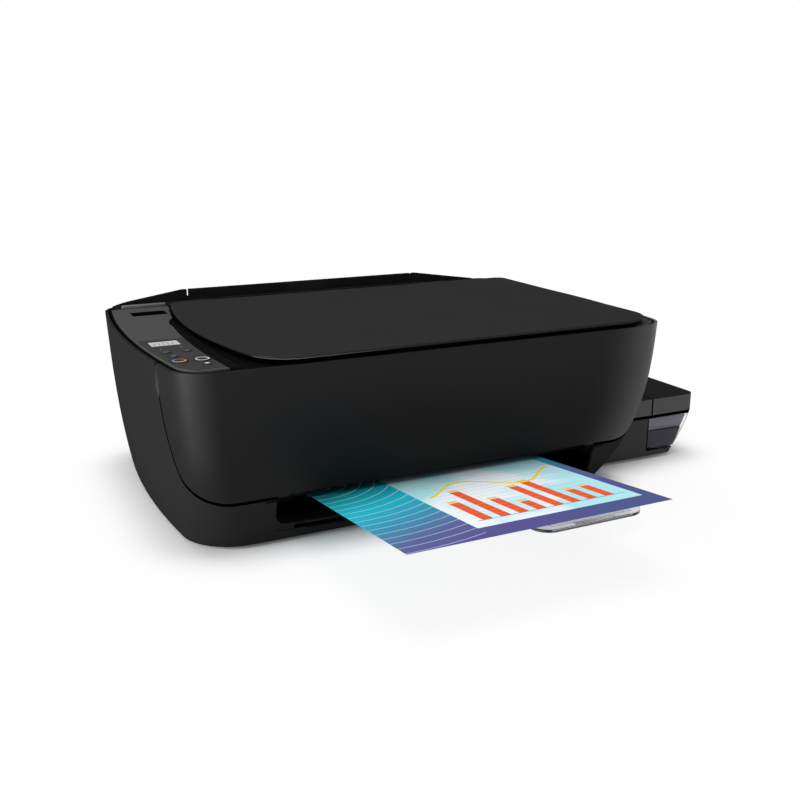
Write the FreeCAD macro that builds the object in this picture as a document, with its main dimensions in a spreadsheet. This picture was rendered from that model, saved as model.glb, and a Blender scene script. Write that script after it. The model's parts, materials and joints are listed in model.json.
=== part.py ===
import FreeCAD, Part
import math
import os
from types import SimpleNamespace

# Ink tank printer with a flatbed scanner on top, a tank box on its right side and a sheet coming out.
# Millimetres. X runs to the right, Y to the back, Z up; Z = 0 is the table under the rubber feet.
# Y lengths below are taken from the middle of the case's depth and then moved to the origin.
# The case is as deep as the lid, the hinge, the feed slot behind it and the paper support together.

doc = FreeCAD.newDocument("ink_tank_printer")
sheet = doc.addObject("Spreadsheet::Sheet", "sizes")

SIZES = {
    # Case shell
    "case_width": 452.0,
    "rim_height": 144.5,
    "foot_height": 3.0,
    "wall": 2.5,
    "fit_gap": 0.5,
    "left_lean": 6.6,
    "left_taper": 7.9,
    "right_lean": 11.8,
    "right_taper": 33.0,
    "front_taper": 19.0,
    "back_taper": 10.0,
    "corner_radius": 30.0,
    "corner_growth": 14.0,
    "side_bow_radius": 900.0,
    # Front door
    "door_bottom": 41.5,
    "seam_gap": 0.6,
    "seam_top_back": 49.5,
    "seam_turn_back": 48.0,
    "seam_turn_height": 118.5,
    "seam_mid_back": 35.6,
    "seam_mid_height": 75.5,
    "seam_end_back": 4.0,
    "door_pivot_drop": 2.0,
    "door_web_rise": 5.0,
    "door_knuckle_radius": 2.2,
    "door_knuckle_length": 9.0,
    "door_pin_radius": 1.2,
    "pin_gap": 0.1,
    # Output slot and trays
    "paper_offset": 11.5,
    "slot_left_in": 80.0,
    "slot_right_in": 79.5,
    "slot_floor": 11.0,
    "slot_corner": 6.0,
    "tray_thick": 6.0,
    "tray_setback": 12.0,
    "tray_depth": 66.0,
    "tray_left_in": 22.5,
    "tray_right_in": 7.5,
    "tray_rail_width": 8.0,
    "tray_rail_front": 12.0,
    "extender_thick": 2.6,
    "extender_right_in": 5.0,
    "extender_corner": 16.0,
    "extender_width": 103.0,
    "extender_length": 138.0,
    "extender_reach": 83.0,
    "slide_gap": 0.2,
    "stop_side": 14.0,
    "stop_length": 14.0,
    "stop_frame": 6.0,
    "stop_pin_radius": 0.8,
    "stop_pin_reach": 3.0,
    # Paper
    "paper_width": 210.0,
    "paper_length": 297.0,
    "paper_thick": 0.2,
    "paper_level": 30.0,
    "paper_rise": 7.0,
    "paper_bend": 60.0,
    "paper_front": 152.7,
    # Scanner deck, glass and bar
    "deck_depth": 24.5,
    "deck_floor": 2.0,
    "bed_left": 70.0,
    "bed_right": 20.0,
    "bed_front": 20.0,
    "bed_back_in": 12.0,
    "glass_thick": 2.8,
    "glass_ledge": 6.0,
    "scan_bar_width": 18.0,
    "scan_bar_height": 12.0,
    "scan_rod_radius": 3.0,
    "scan_rod_back": 120.0,
    "scan_rod_lift": 6.0,
    "scan_park": 6.0,
    "scan_bar_play": 3.0,
    # Lid
    "lid_left": 54.0,
    "lid_right": 22.0,
    "lid_front": 0.5,
    "lid_depth": 260.5,
    "lid_back_gap": 9.0,
    "lid_rise": 1.0,
    "lid_thick": 5.0,
    "lid_corner": 34.0,
    "lid_back_corner": 10.0,
    "lid_bow_radius": 500.0,
    "lid_undercut": 3.0,
    "lid_side_gap": 1.4,
    "pad_thick": 2.6,
    "pad_border": 14.0,
    "knuckle_radius": 2.3,
    "knuckle_length": 26.0,
    "knuckle_left_in": 34.5,
    "knuckle_right_in": 85.5,
    "ear_width": 6.0,
    "ear_front": 1.9,
    "hinge_pin_radius": 1.2,
    "hinge_setback": 3.2,
    # Rear feed
    "rear_bar": 4.0,
    "rear_top": 156.0,
    "wing_left_in": 18.5,
    "wing_right_in": 39.5,
    "wing_crest": 6.0,
    "wing_foot": 1.0,
    "wing_setback": 0.6,
    "rear_shelf": 1.2,
    "rear_bar_lap": 4.0,
    "tray_panel_width": 243.0,
    "tray_panel_thick": 6.0,
    "tray_panel_foot": 64.0,
    "tray_pivot_rise": 3.0,
    "tray_pivot_radius": 1.5,
    "tray_boss": 8.0,
    "tray_boss_half": 5.0,
    "tray_boss_front": 4.0,
    "tray_pin": 5.0,
    "tray_gap_low": 4.0,
    "finger_half": 26.0,
    "finger_depth": 8.0,
    "feed_slot_depth": 24.0,
    "extension_width": 146.0,
    "extension_thick": 1.8,
    "extension_foot": 74.0,
    "guide_thick": 3.0,
    "guide_fin": 15.0,
    "guide_height": 46.0,
    "guide_foot": 24.0,
    "guide_play": 1.5,
    "guide_rise": 10.0,
    "guide_foot_height": 14.0,
    "guide_foot_thick": 1.6,
    # Control panel
    "panel_lip": 3.0,
    "panel_rise": 1.5,
    "panel_thick": 3.5,
    "panel_pocket": 5.0,
    "panel_edge_front": 50.5,
    "panel_edge_mid": 44.0,
    "panel_turn_in": 47.4,
    "panel_turn_back": 171.0,
    "panel_bend_in": 49.2,
    "panel_bend_back": 193.0,
    "panel_shoulder_back": 210.0,
    "grip_left": 30.0,
    "grip_width": 26.0,
    "grip_back": 229.5,
    "grip_depth": 19.0,
    "grip_corner": 6.0,
    "panel_mid": 110.0,
    "display_left": 13.0,
    "display_front": 98.0,
    "display_width": 24.5,
    "display_depth": 17.5,
    "button_rise": 0.8,
    "button_flange": 1.2,
    "copy_button_radius": 6.0,
    "small_button_radius": 3.6,
    "button_lap": 0.8,
    "button_gap": 0.3,
    "display_sink": 1.2,
    # Ink tank box
    "tank_reach": 72.0,
    "tank_setback": 49.0,
    "tank_depth": 224.0,
    "tank_height": 59.5,
    "tank_split": 43.0,
    "tank_taper": 25.0,
    "tank_corner": 10.0,
    "tank_wall": 2.0,
    "tank_bridge": 18.5,
    "tank_root": 60.0,
    "tank_lid_gap": 0.6,
    "tank_bead_radius": 1.2,
    "window_lap": 2.0,
    "window_gap": 0.2,
    "window_low": 9.0,
    "window_high": 40.0,
    "window_back": 205.0,
    "reservoir_gap": 2.0,
    "reservoir_floor": 6.0,
    "reservoir_end": 4.0,
    "reservoir_play": 0.6,
    "seat_in": 2.0,
    "seat_width": 12.0,
    "neck_in": 18.0,
    "neck_radius": 7.0,
    "neck_height": 4.0,
    "cap_radius": 9.0,
    "cap_height": 6.0,
    "cap_lap": 2.0,
    "cap_tab": 4.0,
    "cap_tab_half": 3.0,
    "cap_tab_thick": 1.5,
    # Print engine
    "frame_thick": 3.0,
    "left_frame_in": 34.0,
    "right_frame_in": 53.0,
    "frame_front": 50.0,
    "frame_top": 112.0,
    "frame_low_in": 85.0,
    "frame_step_in": 70.0,
    "frame_back_in": 34.0,
    "frame_step": 32.0,
    "frame_arch": 44.0,
    "pan_thick": 3.0,
    "roller_radius": 6.0,
    "roller_shaft": 3.0,
    "feed_back": 171.0,
    "output_back": 55.0,
    "nip_gap": 0.3,
    "shaft_gap": 0.05,
    "output_sleeve": 12.0,
    "output_pitch": 38.0,
    "output_spread": 95.0,
    "gear_module": 1.0,
    "gear_width": 5.0,
    "gear_backlash": 0.4,
    "belt_pulley_radius": 9.0,
    "belt_thick": 1.2,
    "belt_width": 6.0,
    "belt_gap": 0.3,
    "feed_motor_radius": 12.5,
    "feed_motor_length": 30.0,
    "platen_drop": 0.8,
    "platen_thick": 9.0,
    "platen_in": 20.0,
    "platen_lap": 2.0,
    "platen_post": 12.0,
    "platen_post_depth": 40.0,
    "carriage_width": 72.0,
    "carriage_front": 92.0,
    "carriage_depth": 70.0,
    "carriage_height": 46.0,
    "carriage_floor": 4.0,
    "carriage_park": 2.0,
    "belt_clip_in": 26.0,
    "belt_clip_width": 20.0,
    "head_gap": 1.4,
    "head_width": 29.0,
    "head_depth": 40.0,
    "head_height": 38.0,
    "head_snout": 4.0,
    "head_in": 6.0,
    "head_apart": 2.0,
    "head_lip": 4.0,
    "guide_rod_radius": 4.0,
    "guide_rod_back": 155.0,
    "guide_rod_height": 64.0,
    "rail_back": 176.0,
    "rail_foot": 62.0,
    "rail_height": 40.0,
    "rail_thick": 3.0,
    "drive_pulley_radius": 8.0,
    "drive_pulley_level": 92.0,
    "carriage_motor_radius": 14.0,
    "carriage_motor_length": 28.0,
    "drive_pulley_in": 22.0,
    "idler_pulley_in": 14.0,
    "belt_front": 10.0,
    "pulley_flange": 1.2,
    "pulley_flange_lap": 2.2,
    "pulley_boss": 3.0,
    "pickup_radius": 14.0,
    "pickup_in": 45.0,
    "pickup_height": 62.0,
    "pickup_tyre": 26.0,
    "pickup_spread": 30.0,
    "tube_radius": 1.5,
    "tube_bend": 10.0,
    "tube_pitch": 5.0,
    "tube_low": 28.0,
    "tube_high": 112.0,
    "tube_back": 196.0,
    "tube_room": 4.0,
    "tube_stand": 6.0,
    "clamp_right": 40.0,
    "clamp_width": 10.0,
    # Electrics and feet
    "supply_width": 68.0,
    "supply_depth": 56.0,
    "supply_height": 38.0,
    "supply_left": 42.0,
    "inlet_width": 24.0,
    "inlet_height": 20.0,
    "inlet_depth": 12.0,
    "inlet_right_in": 97.5,
    "inlet_rise": 6.0,
    "inlet_wall": 2.0,
    "board_width": 90.0,
    "board_depth": 58.0,
    "board_thick": 1.6,
    "board_left": 12.0,
    "board_back_in": 16.0,
    "board_margin": 5.0,
    "chip_side": 22.0,
    "chip_left": 40.0,
    "chip_back": 22.0,
    "chip_thick": 2.0,
    "standoff_height": 8.0,
    "standoff_radius": 3.0,
    "socket_width": 14.0,
    "socket_height": 12.0,
    "socket_left_in": 70.0,
    "socket_length": 16.0,
    "socket_depth": 9.0,
    "foot_radius": 8.0,
    "foot_left_in": 66.0,
    "foot_right_in": 82.0,
    "foot_front_in": 62.0,
    "foot_back_in": 50.0,
    "screw_shift": 20.0,
    "screw_radius": 3.0,
}


class Size:
    """A length that keeps the spreadsheet expression it was worked out from."""

    def __init__(self, value, text):
        self.value = float(value)
        self.text = text

    def __float__(self):
        return self.value

    def __add__(self, other):
        other = as_size(other)
        return Size(self.value + other.value, f"({self.text} + {other.text})")

    def __sub__(self, other):
        other = as_size(other)
        return Size(self.value - other.value, f"({self.text} - {other.text})")

    def __mul__(self, factor):
        factor = as_size(factor)
        return Size(self.value * factor.value, f"({self.text} * {factor.text})")

    def __truediv__(self, divisor):
        divisor = as_size(divisor)
        return Size(self.value / divisor.value, f"({self.text} / {divisor.text})")

    def __radd__(self, other):
        return as_size(other) + self

    def __rsub__(self, other):
        return as_size(other) - self

    def __rmul__(self, factor):
        return as_size(factor) * self

    def __neg__(self):
        return Size(-self.value, f"(0 - {self.text})")


def as_size(value):
    """Any number as a Size."""
    if isinstance(value, Size):
        return value
    return Size(value, f"({float(value)!r})")


for row, (alias, value) in enumerate(SIZES.items(), start=1):
    sheet.set(f"A{row}", alias)
    sheet.set(f"B{row}", str(value))
    sheet.setAlias(f"B{row}", alias)
doc.recompute()
s = SimpleNamespace(**{alias: Size(sheet.get(alias), f"sizes.{alias}") for alias in SIZES})

# Main planes of the case
total_width = s.case_width + s.tank_reach
left = -total_width / 2
right = left + s.case_width
case_depth = s.lid_front + s.lid_depth + s.lid_back_gap + s.feed_slot_depth + s.tray_panel_thick
front = -case_depth / 2
back = case_depth / 2
rim = s.rim_height
paper_x = (left + right) / 2 - s.paper_offset
sheet_front = front - s.paper_front
to_origin = -(sheet_front + back) / 2

# How far a cutting block runs past the solid it cuts
OVER = 1.0

pieces = []


def piece(part):
    """Counts a finished solid as one sub-part of the printer."""
    pieces.append(part)
    return part


def place(part, x, y, z):
    """Binds a part's place, moved to the origin along Y."""
    for axis, value in (("x", x), ("y", y + to_origin), ("z", z)):
        part.setExpression(f"Placement.Base.{axis}", as_size(value).text)


def box(name, x0, x1, y0, y1, z0, z1):
    """A block between two corners."""
    part = doc.addObject("Part::Box", name)
    for side, low, high in (("Length", x0, x1), ("Width", y0, y1), ("Height", z0, z1)):
        part.setExpression(side, (as_size(high) - low).text)
    place(part, x0, y0, z0)
    return part


TURNS = {
    "x": FreeCAD.Rotation(FreeCAD.Vector(0, 1, 0), 90),
    "y": FreeCAD.Rotation(FreeCAD.Vector(1, 0, 0), -90),
    "z": FreeCAD.Rotation(),
}


def rod(name, axis, x, y, z, radius, length):
    """A round bar that starts at a point and runs along an axis."""
    part = doc.addObject("Part::Cylinder", name)
    part.Placement = FreeCAD.Placement(FreeCAD.Vector(), TURNS[axis])
    part.setExpression("Radius", as_size(radius).text)
    part.setExpression("Height", as_size(length).text)
    place(part, x, y, z)
    return part


def fuse(name, *parts):
    """Several solids grown together."""
    part = doc.addObject("Part::MultiFuse", name)
    part.Shapes = list(parts)
    return part


def group(name, *parts):
    """Several separate solids kept in one node."""
    part = doc.addObject("Part::Compound", name)
    part.Links = list(parts)
    return part


def cut(name, base, *tools):
    """A solid with other solids taken out of it."""
    tool = tools[0]
    if len(tools) > 1:
        tool = fuse(f"{name}_cuts", *tools)
    part = doc.addObject("Part::Cut", name)
    part.Base = base
    part.Tool = tool
    return part


def common(name, base, tool):
    """What two solids share."""
    part = doc.addObject("Part::Common", name)
    part.Base = base
    part.Tool = tool
    return part


def formed(name, shape):
    """A shape worked out from the sizes and put in its place."""
    part = doc.addObject("Part::Feature", name)
    part.Shape = shape
    base = shape.Placement.Base
    place(part, base.x, as_size(base.y), base.z)
    return part


def vec(x, y, z):
    return FreeCAD.Vector(float(x), float(y), float(z))


def line(start, end):
    return Part.LineSegment(start, end).toShape()


def arc(start, middle, end):
    return Part.Arc(start, middle, end).toShape()


def rounded_wire(x0, x1, y0, y1, z, front_left, front_right, back_right, back_left):
    """A rectangle in plan with its own radius at each corner."""
    x0, x1, y0, y1 = (float(value) for value in (x0, x1, y0, y1))
    corners = (
        (x0, y0, 1, 1, float(front_left)),
        (x1, y0, -1, 1, float(front_right)),
        (x1, y1, -1, -1, float(back_right)),
        (x0, y1, 1, -1, float(back_left)),
    )
    bow = 1 - math.sqrt(0.5)
    edges = []
    last = None
    for index, (x, y, dx, dy, radius) in enumerate(corners):
        along_y = vec(x, y + dy * radius, z)
        along_x = vec(x + dx * radius, y, z)
        middle = vec(x + dx * radius * bow, y + dy * radius * bow, z)
        enter, leave = (along_y, along_x) if index % 2 == 0 else (along_x, along_y)
        if last is not None:
            edges.append(line(last, enter))
        else:
            first = enter
        edges.append(arc(enter, middle, leave))
        last = leave
    edges.append(line(last, first))
    return Part.Wire(edges)


def plate(name, x0, x1, y0, y1, z0, z1, radii):
    """A flat plate with rounded corners in plan."""
    face = Part.Face(rounded_wire(x0, x1, y0, y1, z0, *radii))
    return formed(name, face.extrude(vec(0, 0, float(z1) - float(z0))))


def profile_x(name, points, x0, x1):
    """A straight-sided outline in the YZ plane drawn out along X."""
    corners = [vec(x0, y, z) for y, z in points]
    face = Part.Face(Part.makePolygon(corners + corners[:1]))
    return formed(name, face.extrude(vec(float(x1) - float(x0), 0, 0)))


def profile_y(name, points, y0, y1):
    """A straight-sided outline in the XZ plane drawn out along Y."""
    corners = [vec(x, y0, z) for x, z in points]
    face = Part.Face(Part.makePolygon(corners + corners[:1]))
    return formed(name, face.extrude(vec(0, float(y1) - float(y0), 0)))


# Case envelope: bowed sides, round corners and a skirt that draws in towards the feet


def depth_share(z):
    """How far down the case a height is: 0 at the rim and 1 at the table."""
    return max(0.0, (rim.value - float(z)) / rim.value)


def skirt(z):
    """Share of the taper at a height: all of it at the table, none at the rim."""
    return depth_share(z) ** 3


def case_wire(z, inset):
    """Plan outline of the case at one height, moved in by an inset."""
    z = float(z)
    inset = float(inset)
    drop = skirt(z)
    lean_share = depth_share(z)
    west = left.value + s.left_lean.value * lean_share + s.left_taper.value * drop + inset
    east = right.value - s.right_lean.value * lean_share - s.right_taper.value * drop - inset
    south = front.value + s.front_taper.value * drop + inset
    north = back.value - s.back_taper.value * drop - inset
    corner = s.corner_radius.value + s.corner_growth.value * drop - inset
    bow = s.side_bow_radius.value - inset
    middle = (south + north) / 2
    reach = math.sqrt((bow - corner) ** 2 - (middle - south - corner) ** 2)
    lean = math.atan2(middle - south - corner, reach)
    west_corner = west + bow - reach
    east_corner = east - bow + reach

    def on_corner(cx, cy, angle):
        return vec(cx + corner * math.cos(angle), cy + corner * math.sin(angle), z)

    low = south + corner
    high = north - corner
    half = math.pi / 2
    turns = (
        (east_corner, low, -half, -lean),
        (east_corner, high, lean, half),
        (west_corner, high, half, math.pi - lean),
        (west_corner, low, math.pi + lean, 3 * half),
    )
    arcs = [
        (on_corner(cx, cy, a), on_corner(cx, cy, (a + b) / 2), on_corner(cx, cy, b))
        for cx, cy, a, b in turns
    ]
    sides = (vec(east, middle, z), None, vec(west, middle, z), None)
    edges = []
    for index, side in enumerate(sides):
        start = arcs[index][2]
        end = arcs[(index + 1) % 4][0]
        edges.append(arc(*arcs[index]))
        edges.append(arc(start, side, end) if side else line(start, end))
    return Part.Wire(edges)


def case_loft(inset, low, high):
    """The case envelope between two heights, moved in by an inset."""
    low = float(low)
    steps = (0.0, 0.12, 0.27, 0.46, 0.7, 1.0)
    heights = [low + (float(high) - low) * step for step in steps]
    return Part.makeLoft([case_wire(z, inset) for z in heights], True, False)


def case_slab(inset, z0, z1):
    """A flat slab of the case's own outline, taken at its lower height."""
    return Part.Face(case_wire(z0, inset)).extrude(vec(0, 0, float(z1) - float(z0)))


case_bottom = s.foot_height
shell_outside = formed("shell_outside", case_loft(0, case_bottom, rim))
shell_inside = formed("shell_inside", case_loft(s.wall, case_bottom - 1, rim + 1))
shell = cut("case_shell", shell_outside, shell_inside)


# Front door: the curved front of the shell with both corners, cut along a seam that sweeps down the sides


def door_region(name, gap):
    """The space in front of the door seam, seen from the side, right across the case."""
    gap = float(gap)
    y0 = front.value
    high = rim.value + 5
    turn = vec(left - 10, y0 + s.seam_turn_back.value + gap, s.seam_turn_height.value)
    middle = vec(left - 10, y0 + s.seam_mid_back.value + 0.7 * gap, s.seam_mid_height.value - 0.7 * gap)
    end = vec(left - 10, y0 + s.seam_end_back.value, s.door_bottom.value - gap)
    nose = vec(left - 10, y0 - 20, s.door_bottom.value - gap)
    nose_top = vec(left - 10, y0 - 20, high)
    top = vec(left - 10, y0 + s.seam_top_back.value + gap, high)
    edges = [
        line(top, turn),
        arc(turn, middle, end),
        line(end, nose),
        line(nose, nose_top),
        line(nose_top, top),
    ]
    face = Part.Face(Part.Wire(edges))
    return formed(name, face.extrude(vec(s.case_width + 20, 0, 0)))


slot_x0 = left + s.slot_left_in
slot_x1 = right - s.slot_right_in
pivot_y = front + s.front_taper * skirt(s.door_bottom) + s.wall * 0.6
pivot_z = s.door_bottom - s.door_pivot_drop

door_panel = common("door_panel", shell, door_region("door_space", 0))
door_bits = [door_panel]
for side, x0 in (("left", slot_x0 + 1), ("right", slot_x1 - 1 - s.door_knuckle_length)):
    pin_x = x0 - s.door_knuckle_length / 2
    door_bits.append(
        rod(f"door_knuckle_{side}", "x", x0, pivot_y, pivot_z, s.door_knuckle_radius, s.door_knuckle_length)
    )
    door_bits.append(
        box(
            f"door_web_{side}", x0, x0 + s.door_knuckle_length,
            pivot_y - s.wall * 0.4, pivot_y + s.wall * 0.4, pivot_z, s.door_bottom + s.door_web_rise,
        )
    )
    door_bits.append(
        rod(f"door_pin_{side}", "x", pin_x, pivot_y, pivot_z, s.door_pin_radius, s.door_knuckle_length * 2)
    )
piece(fuse("front_door", *door_bits))

# Main casing: the rest of the shell, with the output slot, the tray gap at the back and the socket holes
tray_x0 = paper_x - s.tray_panel_width / 2
tray_x1 = paper_x + s.tray_panel_width / 2
tray_y1 = back
tray_y0 = back - s.tray_panel_thick
tray_pivot_z = s.tray_panel_foot + s.tray_pivot_rise
tray_pivot_y = (tray_y0 + tray_y1) / 2
inlet_x0 = right - s.inlet_right_in
inlet_z0 = s.foot_height + s.pan_thick + s.inlet_rise
socket_x0 = left + s.socket_left_in
tube_y0 = front + s.tube_back
board_z0 = s.foot_height + s.pan_thick + s.standoff_height
socket_z0 = board_z0 + s.board_thick

hinge_boss_depth = 7.0
casing_bosses = []
casing_holes = []
for side, x0, x1 in (("left", slot_x0 - 8, slot_x0 + 0.4), ("right", slot_x1 - 0.4, slot_x1 + 8)):
    casing_bosses.append(
        box(
            f"door_boss_{side}", x0, x1, pivot_y - s.wall * 0.4, pivot_y + hinge_boss_depth,
            pivot_z - 4, pivot_z + s.door_pivot_drop - s.seam_gap,
        )
    )
    casing_holes.append(
        rod(f"door_bore_{side}", "x", x0 - 1, pivot_y, pivot_z, s.door_pin_radius + s.pin_gap, 11)
    )
for side, x0 in (("left", tray_x0 - s.fit_gap - s.tray_boss), ("right", tray_x1 + s.fit_gap)):
    casing_bosses.append(
        box(
            f"tray_boss_{side}", x0, x0 + s.tray_boss, tray_pivot_y - s.tray_boss_front,
            back - s.wall * 0.4, tray_pivot_z - s.tray_boss_half, tray_pivot_z + s.tray_boss_half,
        )
    )
    casing_holes.append(
        rod(
            f"tray_bore_{side}", "x", x0 - OVER, tray_pivot_y, tray_pivot_z,
            s.tray_pivot_radius + s.pin_gap, s.tray_boss + 2 * OVER,
        )
    )
slot_radii = [s.slot_corner] * 4
slot_face = Part.Face(
    Part.Wire(rounded_wire(slot_x0, slot_x1, s.slot_floor, s.door_bottom + 20, 0, *slot_radii).Edges)
)
slot_hole = slot_face.extrude(vec(0, 0, 60))
slot_hole.rotate(vec(0, 0, 0), vec(1, 0, 0), 90)
slot_hole.translate(vec(0, front + 50, 0))
casing_solid = fuse(
    "casing_solid", cut("casing_wall", shell, door_region("door_clear", s.seam_gap)), *casing_bosses
)
piece(
    cut(
        "main_casing", casing_solid,
        formed("slot_hole", slot_hole),
        box("tray_gap", tray_x0 - s.fit_gap, tray_x1 + s.fit_gap, back - 20, back + 5,
            s.tray_panel_foot - s.tray_gap_low, rim + 5 * OVER),
        box("inlet_hole", inlet_x0 - s.fit_gap, inlet_x0 + s.inlet_width + s.fit_gap, back - 30, back + 5,
            inlet_z0 - s.fit_gap, inlet_z0 + s.inlet_height + s.fit_gap),
        box("socket_hole", socket_x0 - s.fit_gap, socket_x0 + s.socket_width + s.fit_gap, back - 30, back + 5,
            socket_z0 - s.fit_gap, socket_z0 + s.socket_height + s.fit_gap),
        box("tube_hole", right - s.tank_root, right + OVER, tube_y0 - s.tube_room,
            tube_y0 + s.tube_pitch * 3 + s.tube_room, s.tube_low - s.tube_room, s.tube_low + s.tube_room),
        *casing_holes,
    )
)

# Base pan: floor of the case with rails for the output tray, posts and standoffs
pan_z0 = s.foot_height
pan_z1 = s.foot_height + s.pan_thick
tray_z0 = s.slot_floor
tray_z1 = s.slot_floor + s.tray_thick
out_tray_x0 = slot_x0 + s.tray_left_in
out_tray_x1 = slot_x1 - s.tray_right_in
out_tray_y0 = front + s.tray_setback
out_tray_y1 = out_tray_y0 + s.tray_depth
frame_left_x = left + s.left_frame_in
frame_right_x = right - s.right_frame_in
inner_x0 = frame_left_x + s.frame_thick
inner_x1 = frame_right_x
nip_z = s.paper_level
feed_y = front + s.feed_back
output_y = front + s.output_back
roller_z = nip_z - s.roller_radius
platen_x0 = inner_x0 + s.platen_in
platen_x1 = paper_x + s.paper_width / 2 + s.platen_lap
platen_z1 = nip_z - s.platen_drop
platen_z0 = platen_z1 - s.platen_thick
pinion_radius = s.gear_module * 5
feed_gear_radius = s.gear_module * 15
mesh_lean = math.radians(32)
motor_y = feed_y + (pinion_radius + feed_gear_radius) * math.cos(mesh_lean)
motor_z = roller_z + (pinion_radius + feed_gear_radius) * math.sin(mesh_lean)
gear_x0 = inner_x0 + 1
pulley_x0 = gear_x0 + s.gear_width + 1.5
motor_x0 = pulley_x0 + s.belt_width + 1.5
board_y1 = back - s.board_back_in
pan_bits = [formed("pan_plate", case_slab(s.wall + s.fit_gap, pan_z0, pan_z1))]
for side, x0 in (("left", out_tray_x0), ("right", out_tray_x1 - s.tray_rail_width)):
    pan_bits.append(
        box(f"tray_rail_{side}", x0, x0 + s.tray_rail_width, out_tray_y0 + s.tray_rail_front, out_tray_y1,
            pan_z1, tray_z0)
    )
pan_bits.append(
    box("platen_post", platen_x0, platen_x0 + s.platen_post, feed_y - s.platen_post_depth * 1.5,
        feed_y - s.platen_post_depth / 2, pan_z1, platen_z0)
)
pan_bits.append(
    box("motor_post", motor_x0 + 4, motor_x0 + s.feed_motor_length - 4, motor_y - 7, motor_y + 7,
        pan_z1, motor_z - s.feed_motor_radius)
)
for index in range(4):
    post_x = socket_x0 - s.board_left + s.board_margin + (index % 2) * (s.board_width - 2 * s.board_margin)
    post_y = board_y1 - s.board_margin - (index // 2) * (s.board_depth - 2 * s.board_margin)
    pan_bits.append(
        rod(f"standoff_{index}", "z", post_x, post_y, pan_z1, s.standoff_radius, s.standoff_height)
    )
piece(fuse("base_pan", *pan_bits))

# Rubber feet and the screws that hold the pan
foot_places = [
    (x, y)
    for y in (front + s.foot_front_in, back - s.foot_back_in)
    for x in (left + s.foot_left_in, right - s.foot_right_in)
]
piece(
    group(
        "rubber_feet",
        *(
            rod(f"foot_{i}", "z", x, y, 0, s.foot_radius, s.foot_height)
            for i, (x, y) in enumerate(foot_places)
        ),
    )
)
piece(
    group(
        "case_screws",
        *(
            rod(f"screw_{i}", "z", x + s.screw_shift, y, s.foot_height - 1, s.screw_radius, 1)
            for i, (x, y) in enumerate(foot_places)
        ),
    )
)

# Output tray, the sheet stop's extender and the stop itself
extender_x1 = out_tray_x1 - s.extender_right_in
extender_x0 = extender_x1 - s.extender_width
extender_y0 = front - s.extender_reach
extender_y1 = extender_y0 + s.extender_length
extender_z0 = tray_z0 + (s.tray_thick - s.extender_thick) / 2
extender_z1 = extender_z0 + s.extender_thick
piece(
    cut(
        "output_tray",
        plate("tray_plate", out_tray_x0, out_tray_x1, out_tray_y0, out_tray_y1, tray_z0, tray_z1,
              (s.slot_corner, s.slot_corner, 1, 1)),
        box("extender_channel", extender_x0 - s.slide_gap, extender_x1 + s.slide_gap,
            out_tray_y0 - OVER, out_tray_y1 + OVER, extender_z0 - s.slide_gap, extender_z1 + s.slide_gap),
    )
)
stop_x0 = extender_x0 + s.stop_side
stop_x1 = extender_x1 - s.stop_side
stop_y0 = extender_y0 + s.stop_frame
stop_y1 = stop_y0 + s.stop_length
stop_mid = (extender_z0 + extender_z1) / 2
piece(
    cut(
        "tray_extender",
        plate("extender_plate", extender_x0, extender_x1, extender_y0, extender_y1,
              extender_z0, extender_z1, (s.extender_corner, s.extender_corner, 1, 1)),
        box("stop_window", stop_x0 - 0.4, stop_x1 + 0.4, stop_y0 - 0.4, stop_y1 + 1.6,
            extender_z0 - OVER, extender_z1 + OVER),
        rod("stop_bore", "x", stop_x0 - s.stop_pin_reach - OVER, stop_y1, stop_mid,
            s.stop_pin_radius + s.pin_gap, stop_x1 - stop_x0 + 2 * (s.stop_pin_reach + OVER)),
    )
)
piece(
    fuse(
        "paper_stop",
        box("stop_bar", stop_x0, stop_x1, stop_y0, stop_y1, extender_z0, extender_z1),
        rod("stop_hinge", "x", stop_x0, stop_y1, stop_mid, s.extender_thick / 2, stop_x1 - stop_x0),
        rod("stop_pin", "x", stop_x0 - s.stop_pin_reach, stop_y1, stop_mid, s.stop_pin_radius,
            stop_x1 - stop_x0 + 2 * s.stop_pin_reach),
    )
)

# Printed sheet: level in the nip, then rising gently to its front edge
rise = math.tan(math.radians(s.paper_rise.value))
bend_y = front + s.paper_bend
sheet_lift = (bend_y - sheet_front) * rise
slope_length = (bend_y - sheet_front) / math.cos(math.radians(s.paper_rise.value))
sheet_y1 = bend_y + s.paper_length - slope_length
piece(
    profile_x(
        "printed_sheet",
        (
            (sheet_front, nip_z + sheet_lift),
            (bend_y, nip_z),
            (sheet_y1, nip_z),
            (sheet_y1, nip_z + s.paper_thick),
            (bend_y, nip_z + s.paper_thick),
            (sheet_front, nip_z + sheet_lift + s.paper_thick),
        ),
        paper_x - s.paper_width / 2,
        paper_x + s.paper_width / 2,
    )
)

# Scanner deck: a tray inside the rim that carries the glass, the panel and the hinges
deck_z0 = rim - s.deck_depth
deck_inset = s.wall + s.fit_gap
bed_x0 = left + s.bed_left
bed_x1 = right - s.bed_right
bed_y0 = front + s.bed_front
bed_y1 = front + s.lid_front + s.lid_depth - s.bed_back_in
glass_z0 = rim - s.glass_thick - 0.3
slot_y1 = back + 5
slot_y0 = tray_y0 - s.feed_slot_depth
lid_x0 = left + s.lid_left
lid_x1 = right - s.lid_right
lid_y0 = front + s.lid_front
lid_y1 = lid_y0 + s.lid_depth
lid_z0 = rim + s.lid_rise
lid_z1 = lid_z0 + s.lid_thick
lid_crown_y = (front + back) / 2


def lid_side(y):
    """Where the lid's bowed left edge lies at a depth."""
    bow = s.lid_bow_radius.value
    away = float(y) - lid_crown_y.value
    return lid_x0.value + bow - math.sqrt(bow ** 2 - away ** 2)


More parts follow.
